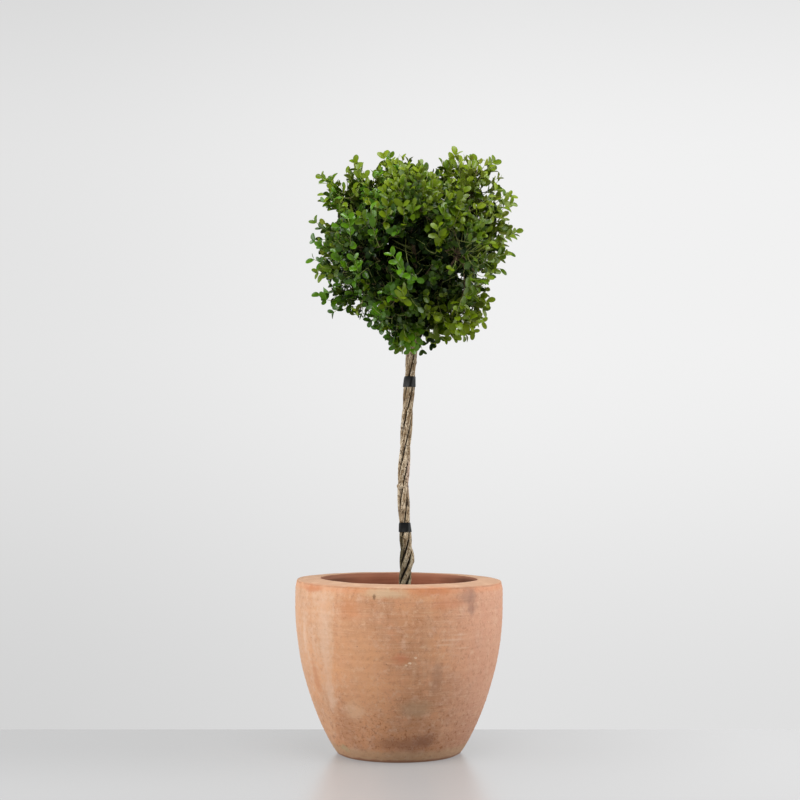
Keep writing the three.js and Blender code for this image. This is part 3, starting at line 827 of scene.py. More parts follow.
print("plait:", round(math.degrees(twist_at(PLAIT_TOP) - twist_at(SOIL_TOP))), "degrees of twist")

# %% [markdown]
# ## Lobes of the crown
# The head is clipped round, but it has grown out again in lobes, each fed by one limb. A lobe
# points out of the crown's middle in its own direction and fills a ball near the surface. The
# four stems run on as the leaders of four lobes, and the others hang on boughs that leave a stem
# lower down. A lobe keeps to the points that are nearer to its own ball than to any other.

# %% Lobes
CROWN_CENTRE = np.array((0.028, 0.0, 1.004))
LIMB_SHORT = 0.010
TUFT = "foot_tuft"


@dataclass
class Lobe:
    name: str
    turn: float  # degrees in plan, from +X
    rise: float  # degrees above level
    reach: float
    stem: int
    leaves_stem: float = 0.0  # the height where its bough leaves the stem; none for a leader
    radius: float = 0.100
    core: float = 0.056

    @property
    def direction(self):
        turn, rise = math.radians(self.turn), math.radians(self.rise)
        level = math.cos(rise)
        return np.array((level * math.cos(turn), level * math.sin(turn), math.sin(rise)))

    @property
    def seed(self):
        return CROWN_CENTRE + self.direction * (self.reach - self.radius)


LOBES = [
    Lobe("top_left", 180, 39, 0.240, 0),
    Lobe("front_upper", -90, 34, 0.220, 1),
    Lobe("top_right", 0, 46, 0.250, 2),
    Lobe("back_upper", 90, 36, 0.222, 3),
    Lobe("top", 180, 80, 0.205, 3, 0.894),
    Lobe("left", 188, 0, 0.216, 0, 0.862),
    Lobe("lower_left", 180, -37, 0.214, 0, 0.820),
    Lobe("right", 8, 13, 0.220, 2, 0.862),
    Lobe("lower_right", 0, -52, 0.221, 2, 0.816),
    Lobe("front_left", -136, -5, 0.222, 1, 0.860),
    Lobe("front_right", -44, -8, 0.222, 1, 0.846),
    Lobe("front_lower", -116, -56, 0.217, 1, 0.830),
    Lobe("back_left", 128, -6, 0.222, 3, 0.860),
    Lobe("back_right", 68, -4, 0.222, 3, 0.840),
    Lobe("back_lower", 66, -56, 0.219, 3, 0.816),
    Lobe(TUFT, -126, -80, 0.224, 1, 0.806, radius=0.052, core=0.013),
]


def unit(vector):
    return vector / np.linalg.norm(vector)


def room_along(lobe, direction, margin):
    """How far the lobe's own space reaches from its seed in one direction."""
    room = math.inf
    for other in LOBES:
        if other is lobe:
            continue
        towards = other.seed - lobe.seed
        half = np.linalg.norm(towards) / 2
        lean = np.dot(unit(towards), direction)
        if lean > 1e-6:
            room = min(room, (half - margin) / lean)
    return room


def enter_point(lobe, start):
    """Where a limb that comes from a point enters the lobe's mass."""
    back = unit(start - lobe.seed)
    return lobe.seed + back * min(lobe.core + LIMB_SHORT, room_along(lobe, back, LIMB_SHORT))


print("lobes:", len(LOBES))

# %% [markdown]
# A limb is a row of points with a radius at each. A stem follows the plait and then bends away to
# its lobe as a leader. A bough starts inside its stem and arches a little on its way out. Both
# rules are the ones by which the solids were made. Stems that press on each other have grown a
# little into each other, so each is drawn a trifle thicker, and a knot is left where a side twig
# was cut off.

# %% Paths of stems and boughs
STEM_SUNK = 0.004  # a stem's foot goes down into the soil
STEM_PRESS = 0.00045  # how much thicker a stem is drawn
LAST_PLAIT_STEP = 0.024
PLAIT_POINTS = 270
LEADER_POINTS = 90
LEADER_BEND = 0.45  # share of its length that a leader runs on as the plait did
BOUGH_POINTS = 48
BOUGH_RADIUS_FOOT = 0.0034
BOUGH_RADIUS_TIP = 0.0023
BOUGH_RISE = 0.10
KNOT_LENGTH = 0.0035
KNOTS = [
    # stem, height, swell
    (0, 0.372, 0.0010), (0, 0.502, 0.0026), (0, 0.658, 0.0026), (1, 0.474, 0.0008),
    (1, 0.616, 0.0010), (2, 0.408, 0.0009), (2, 0.566, 0.0010), (2, 0.700, 0.0009),
    (3, 0.498, 0.0012), (3, 0.640, 0.0009),
]


def bent(start, bend, end, count):
    """Points of a curve that leaves its start towards the bend and arrives from there."""
    s = np.linspace(0, 1, count)[:, None]
    return (1 - s) ** 2 * start + 2 * s * (1 - s) * bend + s * s * end


def stem_path(index):
    heights = np.linspace(SOIL_TOP - STEM_SUNK, PLAIT_TOP, PLAIT_POINTS)
    plait = np.array([plait_centre(index, h) for h in heights])
    radii = np.array([stem_radius(h) for h in heights])
    for stem, height, swell in KNOTS:
        if stem == index:
            radii += swell * np.exp(-(((heights - height) / KNOT_LENGTH) ** 2))
    lobe = next(each for each in LOBES if each.stem == index and not each.leaves_stem)
    climb = unit(plait[-1] - plait_centre(index, PLAIT_TOP - LAST_PLAIT_STEP))
    tip = enter_point(lobe, plait[-1])
    bend = plait[-1] + climb * np.linalg.norm(tip - plait[-1]) * LEADER_BEND
    leader = bent(plait[-1], bend, tip, LEADER_POINTS)[1:]
    leader_radii = np.linspace(STEM_RADIUS_TOP, STEM_RADIUS_TIP, LEADER_POINTS)[1:]
    return np.vstack([plait, leader]), np.concatenate([radii, leader_radii]) + STEM_PRESS


stem_paths = [stem_path(index) for index in range(STEM_COUNT)]


def on_stem(index, height):
    path, _ = stem_paths[index]
    return np.array([np.interp(height, path[:, 2], path[:, axis]) for axis in range(3)])


def bough_path(lobe):
    start = on_stem(lobe.stem, lobe.leaves_stem)
    tip = enter_point(lobe, start)
    shares = np.linspace(0, 1, BOUGH_POINTS)
    path = start + (tip - start) * shares[:, None]
    path[:, 2] += BOUGH_RISE * np.linalg.norm(tip - start) * np.sin(shares * math.pi) ** 2
    radii = BOUGH_RADIUS_FOOT + (BOUGH_RADIUS_TIP - BOUGH_RADIUS_FOOT) * shares
    return path, radii


boughed = [lobe for lobe in LOBES if lobe.leaves_stem and lobe.name != TUFT]
bough_paths = {lobe.name: bough_path(lobe) for lobe in boughed}
print("limbs:", len(stem_paths), "stems and", len(bough_paths), "boughs")

# %% [markdown]
# ## Bark
# Bark splits along the limb, so its relief is drawn out lengthwise. A neat way to get that: roll a
# grid into a short straight tube, roughen it there with Displace, and only then lay it along the
# limb's real path, which pulls every dent out into a fissure. The straight tube's coordinates are
# kept as an attribute, so that the bark's colours follow the limb round every bend.

# %% Limbs with bark
FISSURE_PULL = 4.0  # how many times longer than wide the bark's fissures are
BARK_LUMP = 0.007
BARK_FISSURE = 0.0016


def axes_along(path):
    """Two directions square to the path at each point, carried along it without a twist."""
    ahead = np.gradient(path, axis=0)
    ahead /= np.linalg.norm(ahead, axis=1)[:, None]
    right = [unit(np.cross(ahead[0], (0.3, 1.0, 0.2)))]
    for direction in ahead[1:]:
        right.append(unit(right[-1] - direction * np.dot(right[-1], direction)))
    right = np.array(right)
    return right, np.cross(ahead, right)


def lengths_along(path):
    return np.concatenate([[0], np.cumsum(np.linalg.norm(np.diff(path, axis=0), axis=1))])


def straight_tube(name, radii, length, sides):
    bpy.ops.object.select_all(action="DESELECT")
    bpy.ops.mesh.primitive_grid_add(x_subdivisions=sides, y_subdivisions=len(radii) - 1, size=1)
    tube = named(name)
    across, up = points_of(tube)[:, :2].T
    turn = 2 * math.pi * across
    share = up + 0.5
    ring = np.asarray(radii)[np.round(share * (len(radii) - 1)).astype(int)]
    rolled = np.column_stack([ring * np.cos(turn), ring * np.sin(turn), share * length])
    tube.data.vertices.foreach_set("co", rolled.ravel())
    bpy.ops.object.mode_set(mode="EDIT")
    bpy.ops.mesh.select_all(action="SELECT")
    bpy.ops.mesh.remove_doubles(threshold=1e-6)
    bpy.ops.mesh.fill_holes(sides=sides)
    bpy.ops.mesh.normals_make_consistent(inside=False)
    bpy.ops.object.mode_set(mode="OBJECT")
    return tube


def laid_along(tube, path, length):
    lengths = lengths_along(path)
    right, up = axes_along(path)
    points = points_of(tube)
    spot = np.clip(points[:, 2] / length, 0, 1) * lengths[-1]

    def at_spot(rows):
        return np.column_stack([np.interp(spot, lengths, rows[:, axis]) for axis in range(3)])

    placed = at_spot(path) + points[:, :1] * at_spot(right) + points[:, 1:2] * at_spot(up)
    tube.data.vertices.foreach_set("co", placed.ravel())
    tube.data.update()


def barked_limb(name, path, radii, sides, depth):
    length = lengths_along(path)[-1] / FISSURE_PULL
    limb = straight_tube(name, radii, length, sides)
    bark = limb.data.attributes.new("bark", "FLOAT_VECTOR", "POINT")
    bark.data.foreach_set("vector", points_of(limb).ravel())
    roughened(limb, name + " lumps", BARK_LUMP, depth)
    roughened(limb, name + " fissures", BARK_FISSURE, depth * 0.8)
    laid_along(limb, path, length)
    bpy.ops.object.shade_smooth_by_angle(angle=math.radians(60))
    return limb


print("bark: fissures pulled", FISSURE_PULL, "times long")

# %% [markdown]
# The bark is a dry grey-brown with dark lines in the fissures and paler flakes between them. Where
# the stems meet the bark is painted almost black as shade, so each point of the plait notes how far
# it lies in towards the plait's axis, and that painted shade reaches further near the soil. Near
# the soil a film of green algae dulls the bark, one strand there is mossy and almost black, inside
# the crown it is painted dark as the shade of the leaves, and one strand keeps a smooth, pinkish
# skin for a hand's breadth. Colours that follow the limb read the kept attributes, and those that
# follow height read the object's coordinates.

# %% Bark finish
BARK_DARK = paint("38230f")
PINK_SKIN = (0.0185, -0.002, 0.553)
PINK_HALVES = (0.006, 0.012, 0.040)
SCAR = (0.0175, -0.006, 0.496)
SCAR_HALVES = (0.0035, 0.008, 0.008)
MOSSY = (0.000, -0.012, 0.398)
MOSSY_HALVES = (0.013, 0.030, 0.060)

bark_finish, tree, shader, place = finish("boxwood bark", 0.85, 0.15)
along = node(tree, "Attribute", {}, attribute_name="bark").outputs["Vector"]
inward_shade = node(tree, "Attribute", {}, attribute_name="inward_shade").outputs["Fac"]
level = node(tree, "SeparateXYZ", {0: place}).outputs[2]
fissures = noise(tree, along, 420.0, 5.0, 0.65)
flakes = noise(tree, along, 150.0, 4.0, 0.6)
weather = noise(tree, place, 45.0, 5.0, 0.65)
specks = noise(tree, place, 330.0, 4.0, 0.6)
low_down = sums(tree, "SUBTRACT", 1.0, rising(tree, level, 0.36, 0.47))
algae = times(tree, low_down, rising(tree, weather, 0.4, 0.6, 0.45))
moss = layered(tree, paint("5d553b"), [(specks, 0.42, 0.58, 1.0, paint("1f1b10"))])
# the painted shade between the stems reaches further near the soil
inward_shade = sums(tree, "ADD", inward_shade, times(tree, low_down, 0.22))

bark = layered(tree, paint("8b7457"), [
    (flakes, 0.38, 0.62, 1.0, paint("d6c4a8")),
    (weather, 0.54, 0.66, 0.75, paint("eaddc6")),
])
bark = mixed(tree, blot_share(tree, place, PINK_SKIN, PINK_HALVES, 0.7), bark, paint("cdb3a4"))
bark = layered(tree, bark, [
    (fissures, 0.5, 0.62, 0.85, paint("563c21")),
    (specks, 0.55, 0.61, 0.9, BARK_DARK),
])
bark = mixed(tree, algae, bark, paint("59553a"))
# painted shade: the bark inside the crown is painted dark
bark = layered(tree, bark, [(level, 0.81, 0.88, 0.75, paint("43351f"))])
bark = mixed(tree, blot_share(tree, place, SCAR, SCAR_HALVES, 0.9), bark, BARK_DARK)
bark = mixed(tree, blot_share(tree, place, MOSSY, MOSSY_HALVES, 0.95), bark, moss)
# painted shade: where the stems press together the bark is painted almost black
bark = layered(tree, bark, [(inward_shade, -0.42, -0.08, 0.97, paint("130d07"))])
relief = bump(tree, sums(tree, "SUBTRACT", flakes, fissures), 0.6, 0.0014)
fill(tree, shader, {"Base Color": bark, "Normal": relief})
print("bark:", len(tree.nodes), "nodes")

# %% [markdown]
# Every limb is made by the same steps. The stems also note, point by point, how far they lie in
# towards the axis of the plait, and the boughs have fewer sides and a finer relief.

# %% Stems and boughs
STEM_SIDES = 18
STEM_RELIEF = 0.0013
BOUGH_SIDES = 12
BOUGH_RELIEF = 0.0008


def note_inward(stem):
    """How far each point lies in from the ring of the stems' axes towards the plait's own."""
    points = points_of(stem)
    heights = np.clip(points[:, 2], SOIL_TOP, PLAIT_TOP)
    axis = np.array([lean_at(h) for h in heights])
    ring = np.array([stem_radius(h) for h in heights]) / math.sin(math.pi / STEM_COUNT)
    depths = 1 - np.hypot(points[:, 0] - axis, points[:, 1]) / ring
    depths[points[:, 2] > PLAIT_TOP] = -1
    attribute = stem.data.attributes.new("inward_shade", "FLOAT", "POINT")
    attribute.data.foreach_set("value", depths)


for index, (path, radii) in enumerate(stem_paths, start=1):
    stem = barked_limb(f"plaited_stem_{index}", path, radii, STEM_SIDES, STEM_RELIEF)
    note_inward(stem)
    stem.data.materials.append(bark_finish)
    hand_over(stem, "bark", f"stem_{index}")
for name, (path, radii) in bough_paths.items():
    bough = barked_limb(f"crown_bough_{name}", path, radii, BOUGH_SIDES, BOUGH_RELIEF)
    bough.data.materials.append(bark_finish)
    hand_over(bough, "bark", f"bough_{name}")
print("limbs:", STEM_COUNT + len(bough_paths), "with bark")

# %% [markdown]
# ## Tape
# Two bands of black tape hold the plait together. A band is a strip wound three times round: a
# grid whose long side becomes the winding. Pulled tight, tape spans the hollows between stems, so
# each point lies on the outline that a string round all four stems would take.

# %% Tape bands
TAPE_THICKNESS = 0.0005
TAPE_TURNS = 3
TAPE_COLUMNS = 72
TAPE_ROWS = 6
TAPE_MARGIN = 0.08  # share of a band's height that is left free below and above the strip
TAPE_WANDER = 0.0012  # how much the strip climbs and sinks on its way round
TAPE_LIFT = 0.6  # thicknesses between the stems and the first turn
TAPE_BANDS = [("tape_lower", 0.438, 0.020), ("tape_upper", 0.727, 0.023)]
LOOK_ASIDE = 0.1  # cosine of the widest angle at which a stem still counts


def string_round(height, heading):
    """How far from the plait's axis a string drawn round the four stems lies in one direction."""
    turns = np.linspace(0, 2 * math.pi, 361)[:-1]
    centres = np.array([plait_centre(stem, height) for stem in range(STEM_COUNT)])
    axis = np.array((lean_at(height), 0.0))
    pointing = np.column_stack([np.cos(turns), np.sin(turns)])
    support = ((centres[:, :2] - axis) @ pointing.T).max(axis=0) + stem_radius(height)
    cosine = np.cos(turns - heading)
    ahead = cosine > LOOK_ASIDE
    return (support[ahead] / cosine[ahead]).min()


def tape_band(name, foot, height):
    columns = TAPE_COLUMNS * TAPE_TURNS
    bpy.ops.object.select_all(action="DESELECT")
    bpy.ops.mesh.primitive_grid_add(x_subdivisions=columns, y_subdivisions=TAPE_ROWS, size=1)
    band = named(name)
    across, up = (points_of(band)[:, :2] + 0.5).T
    windings = across * TAPE_TURNS
    levels = foot + height * (TAPE_MARGIN + (1 - 2 * TAPE_MARGIN) * up)
    levels += TAPE_WANDER * np.sin(windings * 2.1)
    wound = []
    for winding, level in zip(windings, levels):
        heading = 2 * math.pi * winding
        radius = string_round(level, heading) + TAPE_THICKNESS * (TAPE_LIFT + winding)
        spot = lean_at(level) + radius * math.cos(heading)
        wound.append((spot, radius * math.sin(heading), level))
    band.data.vertices.foreach_set("co", np.ravel(wound))
    bpy.ops.object.modifier_add(type="SOLIDIFY")
    band.modifiers[-1].thickness = TAPE_THICKNESS
    bpy.ops.object.modifier_apply(modifier=band.modifiers[-1].name)
    bpy.ops.object.shade_smooth_by_angle(angle=math.radians(40))
    return band


tape_finish, tree, shader, place = finish("black tape", 0.5, 0.3)
creases = noise(tree, stretched(tree, place, (60.0, 60.0, 400.0)), 1.0, 4.0)
dust = noise(tree, place, 240.0, 5.0, 0.7)
black = layered(tree, paint("070708"), [(dust, 0.55, 0.75, 0.5, paint("242425"))])
fill(tree, shader, {"Base Color": black, "Normal": bump(tree, creases, 0.5, 0.0006)})
for node_name, foot, height in TAPE_BANDS:
    band = tape_band("wound_" + node_name, foot, height)
    band.data.materials.append(tape_finish)
    hand_over(band, "tape", node_name)
print("tape:", len(TAPE_BANDS), "bands of", TAPE_TURNS, "turns")

# %% [markdown]
# ## Twigs and shoots
# Inside each lobe the limb runs on to the lobe's middle and forks there into twigs. Their
# directions are spread by the golden angle over a cap round the lobe's own direction. Along a
# twig sit pairs of short green shoots, each pair a quarter turn on from the last, which bend up
# towards the light. Thousands of these make a crown, so they are tubes of a few faces from arrays.

# %% Small tubes
def tube(path, radii, sides):
    """A thin tapering tube along a path, closed to a point at its tip."""
    right, up = axes_along(path)
    turns = 2 * math.pi * np.arange(sides)[None, :, None] / sides
    circle = np.cos(turns) * right[:, None] + np.sin(turns) * up[:, None]
    rings = path[:, None] + circle * np.asarray(radii)[:, None, None]
    tip = path[-1] + unit(path[-1] - path[-2]) * radii[-1]
    points = np.vstack([rings.reshape(-1, 3), tip])
    here = np.arange(sides)
    there = (here + 1) % sides
    triangles = []
    for row in range(len(path) - 1):
        low, high = row * sides, (row + 1) * sides
        triangles.append(np.column_stack([low + here, low + there, high + there]))
        triangles.append(np.column_stack([low + here, high + there, high + here]))
    last = (len(path) - 1) * sides
    ends = np.full(sides, len(points) - 1)
    triangles.append(np.column_stack([last + here, last + there, ends]))
    return points, np.vstack(triangles)


twigs = Heap()
shoots = Heap()
print("twigs: tubes of a few faces")

# %% [markdown]
# ## Leaves
# A boxwood leaf is a small leathery oval, glossy above and paler below, folded a little along its
# midrib and curled at the rim. It is drawn once, as an upper and a lower skin, and stamped out
# thousands of times. The skins don't share points, so that each is shaded as a nearly flat sheet.
# Some leaves are flatter and some more cupped, so there are three forms.

# %% One leaf
LEAF_STATIONS = np.array((0.08, 0.28, 0.52, 0.75, 0.93))  # from root to tip
LEAF_HALF_WIDTHS = np.array((0.17, 0.42, 0.50, 0.45, 0.27))
LEAF_THICKNESS = 0.022  # of its length
LEAF_FORMS = [
    # fold of the two halves, droop of the tip
    (0.08, 0.06),
    (0.17, 0.13),
    (0.02, 0.20),
]


def leaf_skin(fold, droop, drop):
    """Points of one skin, from its left rim over the midrib to its right rim, and its triangles."""
    s, w = LEAF_STATIONS, LEAF_HALF_WIDTHS
    rim = fold * w * 2 * np.sin(math.pi * s) - droop * s ** 2
    rib = -droop * s ** 2 - drop
    left = np.column_stack([s, w, rim])
    middle = np.column_stack([s, 0 * s, rib])
    right = np.column_stack([s, -w, rim])
    points = np.vstack([left, middle, right, [(0, 0, 0)], [(1, 0, -droop)]])
    count = len(s)
    left, middle, right = (np.arange(count) + row * count for row in range(3))
    root, tip = 3 * count, 3 * count + 1
    faces = [(root, right[0], middle[0]), (root, middle[0], left[0])]
    for i in range(count - 1):
        for first, second in ((right, middle), (middle, left)):
            faces.append((first[i], first[i + 1], second[i + 1]))
            faces.append((first[i], second[i + 1], second[i]))
    faces += [(right[-1], tip, middle[-1]), (middle[-1], tip, left[-1])]
    return points, np.array(faces)


def leaf_form(fold, droop):
    """A leaf along X with its upper side to +Z: first the upper skin, then the lower."""
    upper, faces = leaf_skin(fold, droop, 0.0)
    lower, _ = leaf_skin(fold, droop, LEAF_THICKNESS)
    return np.vstack([upper, lower]), np.vstack([faces, faces[:, ::-1] + len(upper)])


leaf_forms = [leaf_form(*form) for form in LEAF_FORMS]
print("leaf:", len(leaf_forms[0][1]), "triangles,", len(leaf_forms), "forms")

# %% [markdown]
# Leaves differ in colour by age and place, and the tints also paint in light and shade. Shaded ones
# inside are almost black-green as painted shade, the left side is a cool deep green, and the sprays
# at the top and right are a fresh yellow-green, young growth that is also painted as lit. Each tint
# is a plain colour for the upper side and a duller one below, and a whole spray takes one tint,
# apart from its tip, which is younger. The upper side is waxy and catches small lights.

# %% Leaf tints
LEAF_TINTS = {
    # name: upper side, lower side, roughness, shine, share of a full leaf's size
    "shaded": ("112303", "202d0a", 0.42, 0.10, 0.74),
    "deep": ("304807", "415416", 0.32, 0.18, 0.84),
    "cool": ("3a5e0a", "4f6722", 0.26, 0.36, 0.92),
    "vivid": ("4e770b", "5f7c28", 0.27, 0.34, 1.00),
    "mid": ("4f6909", "637322", 0.30, 0.20, 0.95),
    "fresh": ("60750c", "76852b", 0.31, 0.22, 1.00),
    "young": ("728516", "8f9a36", 0.32, 0.24, 1.00),
}
YOUNGER = {"mid": "fresh", "fresh": "young"}  # the tint of a spray's tip, where it differs
UNDERSIDE_ROUGHNESS = 0.6
UNDERSIDE_SHINE = 0.2


def leaf_finish(name, colour, roughness, shine):
    material, tree, shader, place = finish(name, roughness, shine)
    relief = bump(tree, noise(tree, place, 900.0, 3.0), 0.12, 0.0006)
    fill(tree, shader, {"Base Color": paint(colour), "Normal": relief})
    return material


tint_finishes = {}
for tint, (upper, lower, roughness, shine, _) in LEAF_TINTS.items():
    above = leaf_finish("leaf " + tint, upper, roughness, shine)
    below = leaf_finish("leaf underside " + tint, lower, UNDERSIDE_ROUGHNESS, UNDERSIDE_SHINE)
    tint_finishes[tint] = (above, below)
print("tints:", ", ".join(LEAF_TINTS))

# %% [markdown]
# Which tint a spray takes is decided by where it is, with some chance: high up, far out and to
# the right is younger and lighter, low down and inside is older and darker, which also paints in
# the light from above and the right and the shade inside. The front gets less light than the rim,
# so its leaves are painted darker too, most of all in the belt that the upper half overhangs. Low
# on the right the window reaches in under the crown, and the sprays there are painted fresh again.

# %% Dealing out the tints
CROWN_REACH = 0.2  # about the crown's radius
BY_HEIGHT = 0.5  # how much each of these makes a spray younger
BY_RIGHT = 0.25
BY_RIM = 0.8
BY_DISTANCE = 1.0
BY_WINDOW = 4.0
BY_BELT = -1.2
BY_CHANCE = (0.08, 0.45)  # mean and spread
BELT_HEIGHT = 0.990
BELT_HALF = 0.050
LEFT_SIDE = -0.03  # from here on many sprays are of a cooler green
LEFT_SHARE = 0.6
RIM_FROM = 0.6  # shares of the crown's reach
DISTANCE_FROM = 0.9
WINDOW_FROM = 0.1  # metres further right than high
SHADED_BELOW = -0.75  # scores where one tint ends and the next begins
DEEP_BELOW = 0.0
VIVID_BELOW = 0.4
MID_BELOW = 0.75
FRESH_BELOW = 1.4


def spray_tint(place, chance):
    away = place - CROWN_CENTRE
    out = np.linalg.norm(away) / CROWN_REACH
    rim = math.hypot(away[0], away[2]) / CROWN_REACH
    belt = math.exp(-((place[2] - BELT_HEIGHT) / BELT_HALF) ** 2)
    # painted light and shade: a higher score gives a lighter, younger tint
    score = BY_HEIGHT * away[2] / CROWN_REACH + BY_RIGHT * away[0] / CROWN_REACH
    score += BY_RIM * (rim - RIM_FROM) + BY_DISTANCE * (out - DISTANCE_FROM)
    score += BY_WINDOW * max(0.0, away[0] - away[2] - WINDOW_FROM) + chance.gauss(*BY_CHANCE)
    score += BY_BELT * max(0.0, 1 - rim) * belt
    left = away[0] < LEFT_SIDE and chance.random() < LEFT_SHARE
    if score < SHADED_BELOW:
        return "shaded"
    if score < DEEP_BELOW:
        return "cool" if left else "deep"
    if score < MID_BELOW:
        return "vivid" if left and score < VIVID_BELOW else "mid"
    return "fresh" if score < FRESH_BELOW else "young"


print("tints: dealt out by spray")

# %% [markdown]
# ## The crown's outline
# The lobes' balls melt into one another, so that the clipped head has soft valleys instead of deep
# cracks. A point lies in the dense part of the crown where the balls' shares add up to more than
# one. A shoot asks how far it may run before its leaves would stand outside.

# %% Room to grow
SOFTNESS = 2.5
DENSE_SHARE = 0.81  # of a lobe's ball; only long sprays reach further
LEAF_BEYOND = 0.012  # a shoot's leaves stand out past its tip by about this much
ROOM_STEP = 0.003
lobe_seeds = np.array([lobe.seed for lobe in LOBES])
lobe_radii = np.array([lobe.radius * DENSE_SHARE for lobe in LOBES])


def in_crown(points):
    squares = ((points[:, None] - lobe_seeds[None]) ** 2).sum(axis=2) / lobe_radii ** 2
    return np.exp(SOFTNESS * (1 - squares)).sum(axis=1) > 1


def room_ahead(root, heading, longest):
    steps = np.arange(0, longest + LEAF_BEYOND, ROOM_STEP)
    inside = in_crown(root + heading * steps[:, None])
    reach = steps[-1] if inside.all() else steps[np.argmin(inside)]
    return min(longest, reach - LEAF_BEYOND)


print("crown:", len(lobe_seeds), "balls that melt into one another")

# %% [markdown]
# Some places stay open: a dark hollow in the front, a few gaps at the right that show the wall
# behind, and notches in the outline. An opening is a straight view into the crown, so it spreads
# out from the camera like a narrow cone, and its place is noted where it crosses the plane of the
# stem.

# %% Openings
HOLLOW_FRONT = -0.045  # how far back a hollow goes
HOLLOW_MARGIN = 0.020
THROUGH = 1.0  # behind everything
OPENINGS = [
    # across, height, radius, how far back it goes, share of leaves that are missing
    (-0.002, 1.002, 0.030, HOLLOW_FRONT, 1.0),
    (0.045, 0.986, 0.026, HOLLOW_FRONT, 0.5),
    (0.130, 1.004, 0.042, HOLLOW_FRONT, 0.55),
    (0.100, 0.915, 0.036, HOLLOW_FRONT, 0.4),
    (0.119, 0.950, 0.009, THROUGH, 0.9),
    (0.160, 0.954, 0.010, THROUGH, 0.8),
    (0.103, 0.878, 0.010, THROUGH, 0.9),
    (0.128, 0.878, 0.008, THROUGH, 0.9),
    (0.158, 0.884, 0.010, THROUGH, 0.9),
    (0.200, 0.920, 0.015, THROUGH, 0.9),
    (0.169, 1.124, 0.011, THROUGH, 0.9),
    (0.161, 1.067, 0.009, THROUGH, 0.85),
    (0.196, 1.030, 0.005, THROUGH, 0.7),
    (-0.062, 1.150, 0.010, THROUGH, 0.95),
    (-0.064, 1.172, 0.015, THROUGH, 0.95),
    (0.012, 1.134, 0.007, THROUGH, 0.8),
    (0.074, 1.176, 0.011, THROUGH, 0.95),
    (-0.112, 1.121, 0.010, THROUGH, 0.9),
    (-0.118, 1.160, 0.014, THROUGH, 0.9),
    (-0.136, 1.070, 0.018, THROUGH, 0.95),
    (-0.084, 0.898, 0.009, THROUGH, 0.85),
    (-0.090, 0.846, 0.024, THROUGH, 0.95),
]


def seen_from_front(point):
    """Where the line from the camera to a point crosses the plane of the stem."""
    camera_spot = np.array(CAMERA_PLACE)
    share = camera_spot[1] / (camera_spot[1] - point[1])
    across, _, height = camera_spot + (point - camera_spot) * share
    return across, height


def seen_within(seen, across, height, radius):
    return math.hypot(seen[0] - across, seen[1] - height) < radius


def left_open(point, chance):
    seen = seen_from_front(point)
    for across, height, radius, back, share in OPENINGS:
        inside = point[1] < back and seen_within(seen, across, height, radius)
        if inside and chance.random() < share:
            return True
    return False


def behind_hollow(point):
    seen = seen_from_front(point)
    for across, height, radius, back, _ in OPENINGS:
        if back < point[1] and seen_within(seen, across, height, radius + HOLLOW_MARGIN):
            return True
    return False


print("crown:", len(OPENINGS), "places left open")

# %% [markdown]
# ## Growing a spray
# Leaves turn their upper sides outwards, and a little up towards the light. A leaf is noted by its
# form, its place and its three arms, which are its length, its width and its upright. None is
# noted where it would stand in an opening, unless its spray may cross that.

# %% Leaves in their places
LEAF_LENGTH = 0.0212
LEAF_WIDTH = 0.0126
LENGTH_SPREAD = (0.85, 1.15)
WIDTH_SPREAD = (0.88, 1.12)
LEAF_TWIST = 0.45
LIGHT_SEEKING = 0.45
OUTWARD_SEEKING = 1.2
LEVEL = np.array((1.0, 1.0, 0.25))  # outward is mostly level
UP = np.array((0.0, 0.0, 1.0))
leaves = {tint: [] for tint in LEAF_TINTS}  # form, place and the three arms of each leaf


def turned(vector, axis, angle):
    cosine, sine = math.cos(angle), math.sin(angle)
    straight = axis * np.dot(axis, vector) * (1 - cosine)
    return vector * cosine + np.cross(axis, vector) * sine + straight


def square_to(ahead, vector):
    """The part of a vector that stands square to a direction."""
    return unit(vector - ahead * np.dot(vector, ahead))


def add_leaf(root, heading, facing, size, tint, chance, may_cross):
    length = LEAF_LENGTH * size * chance.uniform(*LENGTH_SPREAD)
    width = LEAF_WIDTH * size * chance.uniform(*WIDTH_SPREAD)
    outward = unit((root - CROWN_CENTRE) * LEVEL)
    facing = facing + LIGHT_SEEKING * UP + OUTWARD_SEEKING * outward
    normal = turned(square_to(heading, facing), heading, chance.gauss(0, LEAF_TWIST))
    if not may_cross and left_open(root + heading * length / 2, chance):
        return
    arms = (heading * length, np.cross(normal, heading) * width, normal * length)
    leaves[tint].append((chance.randrange(len(LEAF_FORMS)), root, arms))


def count_leaves():
    return sum(len(each) for each in leaves.values())


print("leaves:", LEAF_LENGTH * 1000, "mm long")

# %% [markdown]
# A shoot carries opposite pairs of leaves, each pair a quarter turn on from the one below. The
# pairs near the tip are small and stand close to the shoot, the older ones are larger and open
# wider. On a spray that stands out sideways the pairs twist into one plane, so such a spray can be
# asked for as flat. Only flat sprays may cross an opening.

